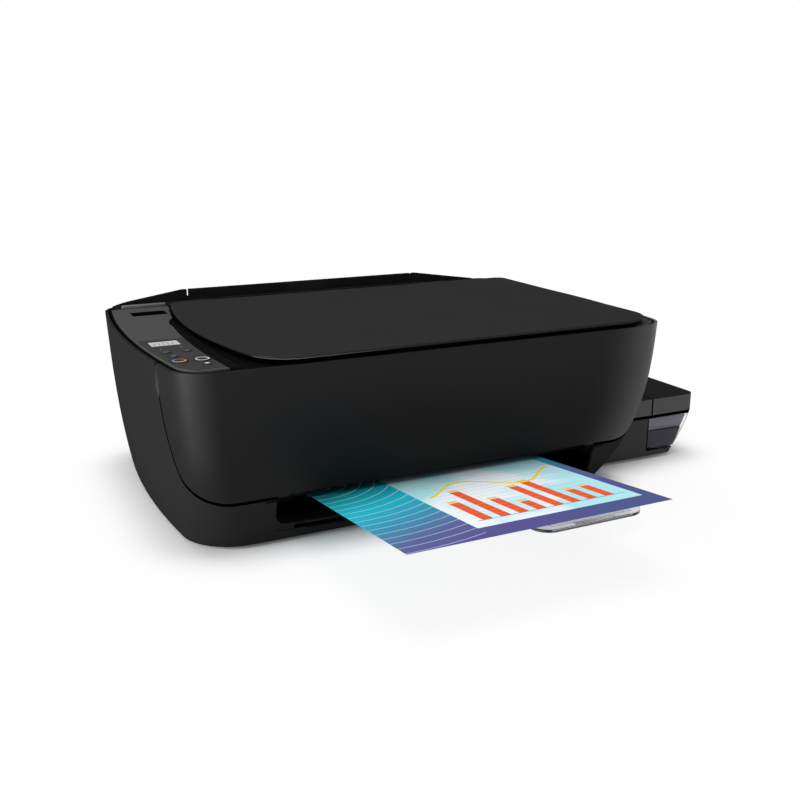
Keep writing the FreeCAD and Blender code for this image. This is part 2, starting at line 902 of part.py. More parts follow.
def panel_region(name, inset, z0, z1):
    """The control panel's plan: the left strip of the rim, up to a long shallow curve and then the lid."""
    z0 = float(z0)
    edge = float(inset) - s.panel_lip.value - deck_inset.value
    aside = s.lid_side_gap.value + edge
    south = front.value - 10
    north = slot_y0.value - s.fit_gap.value - edge
    shoulder_y = front.value + s.panel_shoulder_back.value
    beside_y = (shoulder_y + lid_y1.value) / 2
    start = vec(left + s.panel_edge_front - edge, south, z0)
    middle = vec(left + s.panel_edge_mid - edge, front + s.panel_mid, z0)
    turn = vec(left + s.panel_turn_in - edge, front + s.panel_turn_back, z0)
    bend = vec(left + s.panel_bend_in - edge, front + s.panel_bend_back, z0)
    shoulder = vec(lid_side(shoulder_y) - aside, shoulder_y, z0)
    beside = vec(lid_side(beside_y) - aside, beside_y, z0)
    end = vec(lid_side(lid_y1) - aside, lid_y1, z0)
    back_end = vec(lid_side(lid_y1) - aside, north, z0)
    corner = vec(left - 10, north, z0)
    outer = vec(left - 10, south, z0)
    edges = [
        arc(start, middle, turn), arc(turn, bend, shoulder), arc(shoulder, beside, end),
        line(end, back_end), line(back_end, corner), line(corner, outer), line(outer, start),
    ]
    strip = Part.Face(Part.Wire(edges))
    depth = vec(0, 0, float(z1) - z0)
    outline = Part.Face(case_wire(rim, inset))
    outline.translate(vec(0, 0, z0 - rim.value))
    return formed(name, strip.extrude(depth).common(outline.extrude(depth)))


panel_z1 = rim + s.panel_rise
panel_z0 = panel_z1 - s.panel_thick
piece(
    cut(
        "scanner_deck",
        formed("deck_slab", case_slab(deck_inset, deck_z0, rim)),
        box("scan_bay", bed_x0, bed_x1, bed_y0, bed_y1, deck_z0 + s.deck_floor, glass_z0),
        plate("glass_seat", bed_x0 + s.glass_ledge, bed_x1 - s.glass_ledge, bed_y0 + s.glass_ledge,
              bed_y1 - s.glass_ledge, glass_z0 - 1, rim + 1, (3, 3, 3, 3)),
        panel_region("panel_pocket_space", deck_inset + s.panel_lip - 0.4, panel_z0 - s.panel_pocket,
                     rim + 5 * OVER),
        box("feed_slot", tray_x0 - s.fit_gap, tray_x1 + s.fit_gap, slot_y0, slot_y1, deck_z0 - OVER,
            rim + OVER),
    )
)
piece(
    plate("scanner_glass", bed_x0 + s.glass_ledge + 0.2, bed_x1 - s.glass_ledge - 0.2,
          bed_y0 + s.glass_ledge + 0.2, bed_y1 - s.glass_ledge - 0.2, glass_z0, glass_z0 + s.glass_thick,
          (3, 3, 3, 3))
)
scan_rod_y = bed_y0 + s.scan_rod_back
scan_rod_z = deck_z0 + s.deck_floor + s.scan_rod_lift
piece(rod("scan_rod", "x", bed_x0, scan_rod_y, scan_rod_z, s.scan_rod_radius, bed_x1 - bed_x0))
scan_x0 = bed_x0 + s.scan_park
scan_z1 = glass_z0 - 0.6
piece(
    cut(
        "scan_bar",
        box("scan_block", scan_x0, scan_x0 + s.scan_bar_width, bed_y0 + s.scan_bar_play,
            bed_y1 - s.scan_bar_play, scan_z1 - s.scan_bar_height, scan_z1),
        rod("scan_bore", "x", scan_x0 - 1, scan_rod_y, scan_rod_z, s.scan_rod_radius + s.shaft_gap,
            s.scan_bar_width + 2),
    )
)

# Scanner lid with its foam backing, hinge knuckles and pins
SAME_PLACE = 0.01


def upright_edges(solid, depth):
    """The upright edges of a plate that stand at one depth."""
    return [
        edge for edge in solid.Edges
        if all(abs(vertex.Y - float(depth)) < SAME_PLACE for vertex in edge.Vertexes)
        and abs(edge.Vertexes[0].Z - edge.Vertexes[-1].Z) > SAME_PLACE
    ]


def lid_form():
    """The lid's plate: a bowed left edge, round corners and sides that draw in below."""
    near = vec(lid_side(lid_y0), lid_y0, lid_z0)
    far = vec(lid_side(lid_y1), lid_y1, lid_z0)
    crown = vec(lid_x0, lid_crown_y, lid_z0)
    right_near = vec(lid_x1, lid_y0, lid_z0)
    right_far = vec(lid_x1, lid_y1, lid_z0)
    edges = [arc(far, crown, near), line(near, right_near), line(right_near, right_far), line(right_far, far)]
    solid = Part.Face(Part.Wire(edges)).extrude(vec(0, 0, s.lid_thick))
    solid = solid.makeFillet(s.lid_corner.value, upright_edges(solid, lid_y0))
    solid = solid.makeFillet(s.lid_back_corner.value, upright_edges(solid, lid_y1))
    low_edges = [
        edge for edge in solid.Edges
        if all(abs(vertex.Z - lid_z0.value) < SAME_PLACE for vertex in edge.Vertexes)
    ]
    return solid.makeChamfer(s.lid_undercut.value, low_edges)


pad_z0 = glass_z0 + s.glass_thick + 0.3
pad_z1 = pad_z0 + s.pad_thick
hinge_y = lid_y1 + s.hinge_setback
hinge_z = lid_z0 + s.knuckle_radius + 0.2
pad_box = (
    bed_x0 + s.pad_border, bed_x1 - s.pad_border, bed_y0 + s.pad_border, bed_y1 - s.pad_border,
)
lid_bits = [
    formed("lid_plate", lid_form())
]
ear_bits = []
pin_bits = []
hinge_bores = []
knuckle_middles = (lid_x0 + s.knuckle_left_in, lid_x1 - s.knuckle_right_in)
for index, middle in enumerate(knuckle_middles):
    knuckle_x0 = middle - s.knuckle_length / 2
    knuckle_x1 = knuckle_x0 + s.knuckle_length
    lid_bits.append(
        rod(f"knuckle_{index}", "x", knuckle_x0, hinge_y, hinge_z, s.knuckle_radius, s.knuckle_length)
    )
    lid_bits.append(
        box(f"knuckle_arm_{index}", knuckle_x0, knuckle_x1, lid_y1 - s.lid_undercut - 1, hinge_y,
            lid_z0 + 0.4, hinge_z + s.knuckle_radius * 0.8)
    )
    hinge_bores.append(
        rod(f"knuckle_bore_{index}", "x", knuckle_x0 - 1, hinge_y, hinge_z,
            s.hinge_pin_radius + s.pin_gap, s.knuckle_length + 2)
    )
    for end, ear_x0 in (("a", knuckle_x0 - s.fit_gap - s.ear_width), ("b", knuckle_x1 + s.fit_gap)):
        ear_bits.append(
            box(f"ear_{index}{end}", ear_x0, ear_x0 + s.ear_width, hinge_y - s.ear_front,
                slot_y0 + s.fit_gap, rim, hinge_z + s.knuckle_radius)
        )
    pin_bits.append(
        rod(f"hinge_pin_{index}", "x", knuckle_x0 - s.fit_gap - s.ear_width, hinge_y, hinge_z,
            s.hinge_pin_radius, s.knuckle_length + 2 * s.fit_gap + 2 * s.ear_width)
    )
piece(
    cut(
        "scanner_lid", fuse("lid_solid", *lid_bits),
        box("pad_recess", pad_box[0] - 0.2, pad_box[1] + 0.2, pad_box[2] - 0.2, pad_box[3] + 0.2,
            lid_z0 - 1, pad_z1),
        *hinge_bores,
    )
)
piece(box("lid_pad", *pad_box, pad_z0, pad_z1))

# Rear cover: a shelf behind the panel, thin wings that rise to the paper support, the bar with hinge ears
wing_left_x0 = left + s.wing_left_in
wing_left_x1 = tray_x0 - s.fit_gap
wing_right_x0 = tray_x1 + s.fit_gap
wing_right_x1 = right - s.wing_right_in
shelf_z1 = rim + s.rear_shelf
rear_ends = fuse(
    "rear_ends_form",
    profile_y(
        "wing_left_form",
        ((wing_left_x0, rim), (wing_left_x1, rim), (wing_left_x1, s.rear_top),
         (wing_left_x1 - s.wing_crest, s.rear_top), (wing_left_x0, rim + s.wing_foot)),
        tray_y0, back,
    ),
    profile_y(
        "wing_right_form",
        ((wing_right_x1, rim), (wing_right_x0, rim), (wing_right_x0, s.rear_top),
         (wing_right_x0 + s.wing_crest, s.rear_top), (wing_right_x1, rim + s.wing_foot)),
        tray_y0, back,
    ),
    box("shelf_left_form", wing_left_x0, wing_left_x1, slot_y0, back, rim, shelf_z1),
    box("shelf_right_form", wing_right_x0, wing_right_x1, slot_y0, back, rim, shelf_z1),
)
rear_outline = formed("rear_outline", case_slab(s.wing_setback, rim, s.rear_top + OVER))
rear_cover = fuse(
    "rear_cover_solid",
    common("rear_ends", rear_ends, rear_outline),
    box("rear_bar_form", wing_left_x1 - s.rear_bar_lap, wing_right_x0 + s.rear_bar_lap,
        slot_y0 - s.rear_bar, slot_y0 + s.fit_gap, rim, lid_z1),
    *ear_bits,
)
knuckle_rooms = [
    box(f"knuckle_room_{index}", middle - s.knuckle_length / 2 - s.fit_gap,
        middle + s.knuckle_length / 2 + s.fit_gap, lid_y1 - s.hinge_setback,
        hinge_y + s.knuckle_radius + s.fit_gap, rim - OVER, s.rear_top)
    for index, middle in enumerate(knuckle_middles)
]
piece(fuse("rear_cover", cut("rear_cover_form", rear_cover, *knuckle_rooms), *pin_bits))

# Paper support at the back, its pull-up extension and the two width guides
panel_mid_y = (tray_y0 + tray_y1) / 2
extension_x0 = paper_x - s.extension_width / 2
extension_x1 = paper_x + s.extension_width / 2
extension_y0 = panel_mid_y - s.extension_thick / 2
extension_y1 = panel_mid_y + s.extension_thick / 2
support_solid = fuse(
    "support_solid",
    box("support_panel", tray_x0, tray_x1, tray_y0, tray_y1, s.tray_panel_foot, s.rear_top),
    rod("support_pins", "x", tray_x0 - s.tray_pin, tray_pivot_y, tray_pivot_z, s.tray_pivot_radius,
        s.tray_panel_width + 2 * s.tray_pin),
)
piece(
    cut(
        "paper_support", support_solid,
        box("extension_channel", extension_x0 - s.slide_gap, extension_x1 + s.slide_gap,
            extension_y0 - s.slide_gap, extension_y1 + s.slide_gap, s.extension_foot - s.slide_gap,
            s.rear_top + 1),
        box("finger_notch", paper_x - s.finger_half, paper_x + s.finger_half, tray_y0 - OVER, extension_y0,
            s.rear_top - s.finger_depth, s.rear_top + OVER),
    )
)
piece(
    box("support_extension", extension_x0, extension_x1, extension_y0, extension_y1, s.extension_foot,
        s.rear_top - 0.5)
)
guide_z0 = s.tray_panel_foot + s.guide_rise
guide_y1 = tray_y0 - 0.3
for side, sign in (("left", -1), ("right", 1)):
    inner = paper_x + sign * (s.paper_width / 2 + s.guide_play)
    outer = inner + sign * s.guide_thick
    foot = inner - sign * s.guide_foot
    low, high = (outer, inner) if sign < 0 else (inner, outer)
    foot_low, foot_high = (outer, foot) if sign < 0 else (foot, outer)
    piece(
        fuse(
            f"{side}_paper_guide",
            box(f"{side}_guide_fin", low, high, guide_y1 - s.guide_fin, guide_y1, guide_z0,
                guide_z0 + s.guide_height),
            box(f"{side}_guide_foot", foot_low, foot_high, guide_y1 - s.guide_foot_thick, guide_y1,
                guide_z0, guide_z0 + s.guide_foot_height),
        )
    )

# Control panel with its display and sprung buttons
display_x0 = left + s.display_left
display_x1 = display_x0 + s.display_width
display_y0 = front + s.display_front
display_y1 = display_y0 + s.display_depth
display_z0 = panel_z1 - s.display_sink
buttons = (
    ("colour_copy_button", left + 21.3, front + 40.6, s.copy_button_radius),
    ("mono_copy_button", left + 38.0, front + 39.7, s.copy_button_radius),
    ("stop_button", left + 37.5, front + 24.5, s.small_button_radius),
    ("power_button", left + 21.0, front + 56.8, s.small_button_radius),
    ("wireless_button", left + 19.0, front + 72.2, s.small_button_radius),
    ("count_button", left + 34.7, front + 72.1, s.small_button_radius),
)
panel_holes = [
    box("display_recess", display_x0 - 0.2, display_x1 + 0.2, display_y0 - 0.2, display_y1 + 0.2,
        display_z0, panel_z1 + 1)
]
grip_x0 = left + s.grip_left
grip_y0 = front + s.grip_back
panel_holes.append(
    plate("grip_recess", grip_x0, grip_x0 + s.grip_width, grip_y0, grip_y0 + s.grip_depth, panel_z0 - OVER,
          panel_z1 + OVER, [s.grip_corner] * 4)
)
flange_z0 = panel_z0 - s.button_gap - s.button_flange
for label, x, y, radius in buttons:
    panel_holes.append(
        rod(f"{label}_hole", "z", x, y, panel_z0 - OVER, radius + s.button_gap, s.panel_thick + 2 * OVER)
    )
    piece(
        fuse(
            label,
            rod(f"{label}_stem", "z", x, y, flange_z0, radius,
                panel_z1 + s.button_rise - flange_z0),
            rod(f"{label}_flange", "z", x, y, flange_z0, radius + s.button_lap, s.button_flange),
        )
    )
piece(
    cut(
        "control_panel", panel_region("panel_form", deck_inset + s.panel_lip, panel_z0, panel_z1),
        *panel_holes,
    )
)
piece(
    box("display", display_x0, display_x1, display_y0, display_y1, display_z0, panel_z1 - 0.2)
)

# Ink tank box: housing with a window strip, four reservoirs with caps and a hinged cover
tank_y0 = front + s.tank_setback
tank_y1 = tank_y0 + s.tank_depth
tank_x1 = total_width / 2
tank_x0 = right - s.tank_root


def tank_section(z, inset):
    """Plan outline of the tank box at one height."""
    share = max(0.0, (s.tank_split.value - float(z)) / s.tank_split.value)
    east = tank_x1.value - s.tank_taper.value * share ** 1.3 - float(inset)
    radius = max(1.0, s.tank_corner.value - float(inset))
    return rounded_wire(
        tank_x0, east, tank_y0 + inset, tank_y1 - inset, z, 0.5, radius, radius, 0.5,
    )


def tank_loft(inset, z0, z1):
    """The tank box between two heights."""
    steps = (0.0, 0.35, 0.7, 1.0)
    sections = [tank_section(float(z0) + (float(z1) - float(z0)) * step, inset) for step in steps]
    return Part.makeLoft(sections, True, False)


tank_low = s.foot_height
tank_seat = s.tank_split
case_side = formed("case_side", case_loft(-s.fit_gap, case_bottom - 1, rim))
tank_outside = formed("tank_outside", tank_loft(0, tank_low, tank_seat))
tank_inside = formed("tank_inside", tank_loft(s.tank_wall, tank_low + s.tank_wall, tank_seat + 1))
tank_body = cut("tank_body", tank_outside, case_side)
case_side_thick = formed(
    "case_side_thick", case_loft(-s.fit_gap - s.tank_wall, case_bottom - OVER, rim)
)
inner_room = cut("inner_room", tank_inside, case_side_thick)
tank_shell = cut("tank_shell", tank_body, inner_room)
bridge_x1 = right + s.tank_bridge
window_x0 = bridge_x1 - s.window_lap


def window_block(name, grow):
    """The part of the tank wall that is clear: the front corner and most of the right side."""
    return box(
        name, window_x0 - grow, tank_x1 + 5, tank_y0 - 5, tank_y0 + s.window_back + grow,
        s.window_low - grow, s.window_high + grow,
    )


bridge_form = cut(
    "bridge_form",
    box("bridge_block", tank_x0, bridge_x1, tank_y0, tank_y1, tank_seat, s.tank_height),
    formed("case_side_top", case_loft(-s.fit_gap, case_bottom - 1, rim)),
)
tank_tubes = [
    rod(f"tube_port_{index}", "x", tank_x0, tube_y0 + s.tube_pitch * index, s.tube_low,
        s.tube_radius + s.fit_gap, s.tank_root + s.tube_room)
    for index in range(4)
]
piece(
    cut(
        "tank_housing", fuse("tank_solid", tank_shell, bridge_form),
        window_block("window_space", s.window_gap), *tank_tubes,
    )
)
piece(common("tank_window", cut("tank_ring", tank_outside, tank_inside), window_block("window_form", 0)))

colours = ("black", "cyan", "magenta", "yellow")
res_x0 = right + s.tank_bridge
res_pitch = (s.tank_depth - 2 * s.tank_wall - 2 * s.reservoir_end) / len(colours)
res_z1 = tank_seat - 1
reservoir_inset = s.tank_wall + s.reservoir_play
reservoir_room = formed("reservoir_room", tank_loft(reservoir_inset, s.reservoir_floor, tank_seat))
neck_x = res_x0 + s.neck_in
cap_z0 = res_z1 + s.neck_height - s.cap_lap
for index, colour in enumerate(colours):
    y0 = tank_y0 + s.tank_wall + s.reservoir_end + res_pitch * index
    y1 = y0 + res_pitch - s.reservoir_gap
    neck_y = (y0 + y1) / 2
    cell = box(f"{colour}_cell", res_x0, tank_x1 + 5, y0, y1, s.reservoir_floor, res_z1)
    seat = box(f"{colour}_seat", res_x0 + s.seat_in, res_x0 + s.seat_in + s.seat_width,
               y0 + s.reservoir_end, y1 - s.reservoir_end, tank_low + s.tank_wall, s.reservoir_floor)
    neck = rod(f"{colour}_neck", "z", neck_x, neck_y, res_z1 - 1, s.neck_radius, s.neck_height + 1)
    piece(
        fuse(f"ink_reservoir_{colour}", common(f"{colour}_body", cell, reservoir_room), seat, neck)
    )
    hinge_tab = box(
        f"{colour}_tab", neck_x - s.cap_radius - s.cap_tab, neck_x, neck_y - s.cap_tab_half,
        neck_y + s.cap_tab_half, cap_z0 + s.cap_height - s.cap_tab_thick, cap_z0 + s.cap_height,
    )
    piece(
        cut(
            f"tank_cap_{colour}",
            fuse(
                f"{colour}_cap_solid",
                rod(f"{colour}_cap_body", "z", neck_x, neck_y, cap_z0, s.cap_radius, s.cap_height),
                hinge_tab,
            ),
            rod(f"{colour}_cap_bore", "z", neck_x, neck_y, cap_z0 - 1, s.neck_radius + 0.3,
                res_z1 + s.neck_height + 0.3 - cap_z0 + 1),
        )
    )

# Tank cover: the grey top band, hollow, turning on the round bead along its inner top edge
cover_outside = formed("cover_outside", tank_loft(0, tank_seat + s.tank_lid_gap, s.tank_height))
cover_inside = formed("cover_inside", tank_loft(s.tank_wall, tank_seat - 1, s.tank_height - s.tank_wall))
bead_x = bridge_x1 + s.tank_lid_gap + s.tank_bead_radius
bead_z = s.tank_height - s.tank_bead_radius
cover_zone = box("cover_zone", bead_x, tank_x1 + OVER, tank_y0 - OVER, tank_y1 + OVER,
                 0, s.tank_height + OVER)
piece(
    fuse(
        "tank_lid",
        cut("cover_shell", common("cover_solid", cover_outside, cover_zone), cover_inside),
        rod("tank_bead", "y", bead_x, tank_y0, bead_z, s.tank_bead_radius, s.tank_depth),
    )
)

# Print engine: side frames, guide rod, rail and carriage
frame_profile = (
    (front + s.frame_front, pan_z1),
    (back - s.frame_low_in, pan_z1),
    (back - s.frame_step_in, pan_z1 + s.frame_step),
    (back - s.frame_back_in, pan_z1 + s.frame_arch),
    (back - s.frame_back_in, s.frame_top),
    (front + s.frame_front, s.frame_top),
)
rod_y = front + s.guide_rod_back
rod_z = s.guide_rod_height
rail_y0 = front + s.rail_back
rail_y1 = rail_y0 + s.rail_thick
pickup_y = back - s.pickup_in
pickup_z = s.pickup_height


def shaft_bores(side, x0):
    """Bores for the three driven shafts in one side frame."""
    seats = (("feed", feed_y, roller_z), ("output", output_y, roller_z), ("pickup", pickup_y, pickup_z))
    return [
        rod(f"{side}_{name}_bore", "x", x0 - 1, y, z, s.roller_shaft + s.shaft_gap, s.frame_thick + 2)
        for name, y, z in seats
    ]


left_frame = cut(
    "left_frame",
    profile_x("left_frame_plate", frame_profile, frame_left_x, frame_left_x + s.frame_thick),
    *shaft_bores("left", frame_left_x),
)
right_frame = cut(
    "right_frame",
    profile_x("right_frame_plate", frame_profile, frame_right_x, frame_right_x + s.frame_thick),
    box("tube_notch", frame_right_x - OVER, frame_right_x + s.frame_thick + OVER, tube_y0 - s.tube_room,
        tube_y0 + s.tube_pitch * 3 + s.tube_room, s.tube_high - s.tube_room, s.frame_top + OVER),
    *shaft_bores("right", frame_right_x),
)
piece(group("side_frames", left_frame, right_frame))
piece(rod("guide_rod", "x", inner_x0, rod_y, rod_z, s.guide_rod_radius, inner_x1 - inner_x0))
clamp_x0 = paper_x + s.clamp_right
piece(
    fuse(
        "carriage_rail",
        box("rail_web", inner_x0, inner_x1, rail_y0, rail_y1, s.rail_foot, s.rail_foot + s.rail_height),
        box("tube_clamp", clamp_x0, clamp_x0 + s.clamp_width, rail_y0,
            tube_y0 + s.tube_pitch * 3 + s.tube_room, s.rail_foot + s.rail_height - OVER,
            s.tube_high + s.tube_room),
    )
)
car_x1 = inner_x1 - s.carriage_park
car_x0 = car_x1 - s.carriage_width
car_y0 = front + s.carriage_front
car_y1 = car_y0 + s.carriage_depth
car_z0 = nip_z + s.head_gap + 1
car_z1 = car_z0 + s.carriage_height
head_y0 = car_y0 + s.head_in
head_z0 = car_z0 + s.carriage_floor
belt_low = s.drive_pulley_level - s.drive_pulley_radius - s.belt_gap - s.belt_thick
belt_y0 = rail_y0 - s.belt_front
belt_y1 = belt_y0 + s.belt_width
head_places = [
    (label, (car_x0 + car_x1) / 2 + sign * (s.head_width / 2 + s.head_apart))
    for label, sign in (("black", -1), ("colour", 1))
]
carriage_cuts = [
    rod("carriage_bore", "x", car_x0 - OVER, rod_y, rod_z, s.guide_rod_radius + s.shaft_gap,
        s.carriage_width + 2 * OVER)
]
for label, x in head_places:
    half = s.head_width / 2
    carriage_cuts.append(
        box(f"{label}_bay", x - half - 0.3, x + half + 0.3, head_y0 - 0.3, head_y0 + s.head_depth + 0.3,
            head_z0, car_z1 + 1)
    )
    carriage_cuts.append(
        box(f"{label}_mouth", x - half + s.head_lip - 0.3, x + half - s.head_lip + 0.3,
            head_y0 + s.head_lip - 0.3, head_y0 + s.head_depth - s.head_lip + 0.3,
            car_z0 - OVER, head_z0 + OVER)
    )
    piece(
        fuse(
            f"{label}_printhead",
            box(f"{label}_head_body", x - half, x + half, head_y0, head_y0 + s.head_depth, head_z0,
                head_z0 + s.head_height),
            box(f"{label}_head_snout", x - half + s.head_lip, x + half - s.head_lip, head_y0 + s.head_lip,
                head_y0 + s.head_depth - s.head_lip, head_z0 - s.head_snout, head_z0),
        )
    )
clip_x0 = car_x0 + s.belt_clip_in
clip_x1 = clip_x0 + s.belt_clip_width
clip_y1 = belt_y1 - 2
piece(
    cut(
        "carriage",
        fuse(
            "carriage_solid",
            box("carriage_block", car_x0, car_x1, car_y0, car_y1, car_z0, car_z1),
            box("belt_clip", clip_x0, clip_x1, belt_y0 - s.belt_width / 2, clip_y1, car_z1 - 1,
                belt_low - 0.3),
            box("belt_clip_arm", clip_x0, clip_x1, car_y1 - s.belt_width, clip_y1, car_z1 - 4, car_z1 + 2),
        ),
        *carriage_cuts,
    )
)

# Timing belt, its two pulleys and the carriage motor behind the rail
drive_x = inner_x1 - s.drive_pulley_in
idler_x = inner_x0 + s.idler_pulley_in
pulley_z = s.drive_pulley_level


def belt_ring(radius, low, high, level, spread):
    """A stadium outline round two pulleys, as a face in a plane of its own."""
    top = vec(low, level + radius, 0)
    wire = Part.Wire([
        line(vec(low, level - radius, 0), vec(high, level - radius, 0)),
        arc(vec(high, level - radius, 0), vec(high + radius, level, 0), vec(high, level + radius, 0)),
        line(vec(high, level + radius, 0), top),
        arc(top, vec(low - radius, level, 0), vec(low, level - radius, 0)),
    ])
    return Part.Face(wire).extrude(vec(0, 0, spread))


def belt_shape(radius, low, high, level, spread):
    """A closed flat belt: an outer stadium less an inner one."""
    radius = float(radius) + s.belt_gap.value
    low, high, level = float(low), float(high), float(level)
    outer = belt_ring(radius + s.belt_thick.value, low, high, level, spread)
    return outer.cut(belt_ring(radius, low, high, level, spread))


timing = belt_shape(s.drive_pulley_radius, idler_x, drive_x, pulley_z, s.belt_width)
timing.rotate(vec(0, 0, 0), vec(1, 0, 0), 90)
timing.translate(vec(0, belt_y1, 0))
timing_belt = formed("timing_belt", timing)
for label, x in (("drive_pulley", drive_x), ("idler_pulley", idler_x)):
    piece(
        fuse(
            label,
            rod(f"{label}_rim", "y", x, belt_y0, pulley_z, s.drive_pulley_radius, s.belt_width),
            rod(f"{label}_flange", "y", x, belt_y0 - s.pulley_flange, pulley_z,
                s.drive_pulley_radius + s.pulley_flange_lap, s.pulley_flange),
            rod(f"{label}_boss", "y", x, belt_y1, pulley_z, s.pulley_boss, rail_y0 - 0.3 - belt_y1),
        )
    )
piece(
    rod("carriage_motor", "y", drive_x, rail_y1, pulley_z, s.carriage_motor_radius, s.carriage_motor_length)
)


def gear_shape(teeth, module, width, turn):
    """A spur gear with straight-flanked teeth, its axis along X through the origin."""
    pitch = teeth * module / 2
    tip = pitch + module * 0.9
    root = pitch - module * 1.15
    thick = math.pi * module / 2 - s.gear_backlash.value
    points = []
    for tooth in range(teeth):
        centre = 2 * math.pi * tooth / teeth + turn
        for radius, width_share in ((root, 1.45), (pitch, 1.0), (tip, 0.5)):
            points.append((radius, centre - thick * width_share / (2 * radius)))
        for radius, width_share in ((tip, 0.5), (pitch, 1.0), (root, 1.45)):
            points.append((radius, centre + thick * width_share / (2 * radius)))
    corners = [vec(0, r * math.cos(a), r * math.sin(a)) for r, a in points]
    face = Part.Face(Part.makePolygon(corners + corners[:1]))
    return face.extrude(vec(width, 0, 0))


# Paper feed: rollers, gears, transfer belt, pickup roller and their motor
FEED_TEETH = 30
PINION_TEETH = 10
module = s.gear_module.value
feed_gear = gear_shape(FEED_TEETH, module, s.gear_width, mesh_lean)
feed_gear = feed_gear.cut(Part.makeCylinder(s.roller_shaft.value, 20, vec(-5, 0, 0), vec(1, 0, 0)))
feed_gear.translate(vec(gear_x0, feed_y, roller_z))
piece(formed("feed_gear", feed_gear))
pinion = gear_shape(PINION_TEETH, module, s.gear_width, mesh_lean + math.pi + math.pi / PINION_TEETH)
pinion.translate(vec(gear_x0, motor_y, motor_z))
piece(
    fuse(
        "motor_pinion", formed("pinion_teeth", pinion),
        rod("pinion_shaft", "x", gear_x0, motor_y, motor_z, 2, motor_x0 - 0.3 - gear_x0),
    )
)
piece(rod("feed_motor", "x", motor_x0, motor_y, motor_z, s.feed_motor_radius, s.feed_motor_length))
rubber_x0 = platen_x0 + 1
shaft_x0 = frame_left_x + 0.3
shaft_x1 = frame_right_x + s.frame_thick - 0.3
for label, y in (("feed_roller", feed_y), ("output_roller", output_y)):
    if label == "feed_roller":
        sleeves = [
            rod("feed_sleeve", "x", rubber_x0, y, roller_z, s.roller_radius - s.nip_gap,
                platen_x1 - rubber_x0)
        ]
    else:
        sleeves = [
            rod(f"output_sleeve_{index}", "x", paper_x - s.output_spread + s.output_pitch * index, y,
                roller_z, s.roller_radius - s.nip_gap, s.output_sleeve)
            for index in range(6)
        ]
    piece(
        fuse(
            label,
            rod(f"{label}_shaft", "x", shaft_x0, y, roller_z, s.roller_shaft, shaft_x1 - shaft_x0),
            rod(f"{label}_pulley", "x", pulley_x0, y, roller_z, s.belt_pulley_radius, s.belt_width),
            *sleeves,
        )
    )
transfer = belt_shape(s.belt_pulley_radius, output_y, feed_y, roller_z, s.belt_width)
transfer.rotate(vec(0, 0, 0), vec(0, 0, 1), 90)
transfer.rotate(vec(0, 0, 0), vec(0, 1, 0), 90)
transfer.translate(vec(pulley_x0, 0, 0))
piece(group("drive_belts", timing_belt, formed("transfer_belt", transfer)))
piece(
    box("platen", platen_x0, platen_x1, output_y + s.roller_radius + 2, feed_y - s.roller_radius - 2,
        platen_z0, platen_z1)
)
station_x0 = platen_x1 + 0.3
piece(
    box("service_station", station_x0, inner_x1, head_y0, head_y0 + s.head_depth, platen_z0,
        nip_z + 0.6)
)
pickup_bits = [rod("pickup_shaft", "x", shaft_x0, pickup_y, pickup_z, s.roller_shaft, shaft_x1 - shaft_x0)]
for index, sign in enumerate((-1, 1)):
    pickup_bits.append(
        rod(f"pickup_tyre_{index}", "x", paper_x + sign * s.pickup_spread - s.pickup_tyre / 2,
            pickup_y, pickup_z, s.pickup_radius, s.pickup_tyre)
    )
piece(fuse("pickup_roller", *pickup_bits))

# Power supply with its inlet, and the main board with its socket
inlet_y1 = back - s.back_taper * skirt(inlet_z0 + s.inlet_height / 2)
inlet_y0 = inlet_y1 - s.inlet_depth
supply_x0 = inlet_x0 - s.supply_left
power_inlet = cut(
    "power_inlet",
    box("inlet_body", inlet_x0, inlet_x0 + s.inlet_width, inlet_y0, inlet_y1, inlet_z0,
        inlet_z0 + s.inlet_height),
    box("inlet_mouth", inlet_x0 + s.inlet_wall, inlet_x0 + s.inlet_width - s.inlet_wall,
        inlet_y0 + s.inlet_wall, inlet_y1 + OVER, inlet_z0 + s.inlet_wall,
        inlet_z0 + s.inlet_height - s.inlet_wall),
)
supply_case = box(
    "supply_case", supply_x0, supply_x0 + s.supply_width, inlet_y0 - s.supply_depth, inlet_y0, pan_z1,
    pan_z1 + s.supply_height,
)
piece(fuse("power_supply", supply_case, power_inlet))
board_x0 = socket_x0 - s.board_left
socket_y1 = back - s.back_taper * skirt(socket_z0 + s.socket_height / 2)
piece(
    fuse(
        "main_board",
        box("board_plate", board_x0, board_x0 + s.board_width, board_y1 - s.board_depth, board_y1,
            board_z0, board_z0 + s.board_thick),
        cut(
            "data_socket",
            box("socket_body", socket_x0, socket_x0 + s.socket_width, board_y1 - s.socket_length, socket_y1,
                socket_z0, socket_z0 + s.socket_height),
            box("socket_mouth", socket_x0 + s.inlet_wall, socket_x0 + s.socket_width - s.inlet_wall,
                socket_y1 - s.socket_depth, socket_y1 + OVER, socket_z0 + s.inlet_wall,
                socket_z0 + s.socket_height - s.inlet_wall),
        ),
        box("board_chip", board_x0 + s.chip_left, board_x0 + s.chip_left + s.chip_side,
            board_y1 - s.chip_back - s.chip_side, board_y1 - s.chip_back, board_z0 + s.board_thick,
            board_z0 + s.board_thick + s.chip_thick),
    )
)

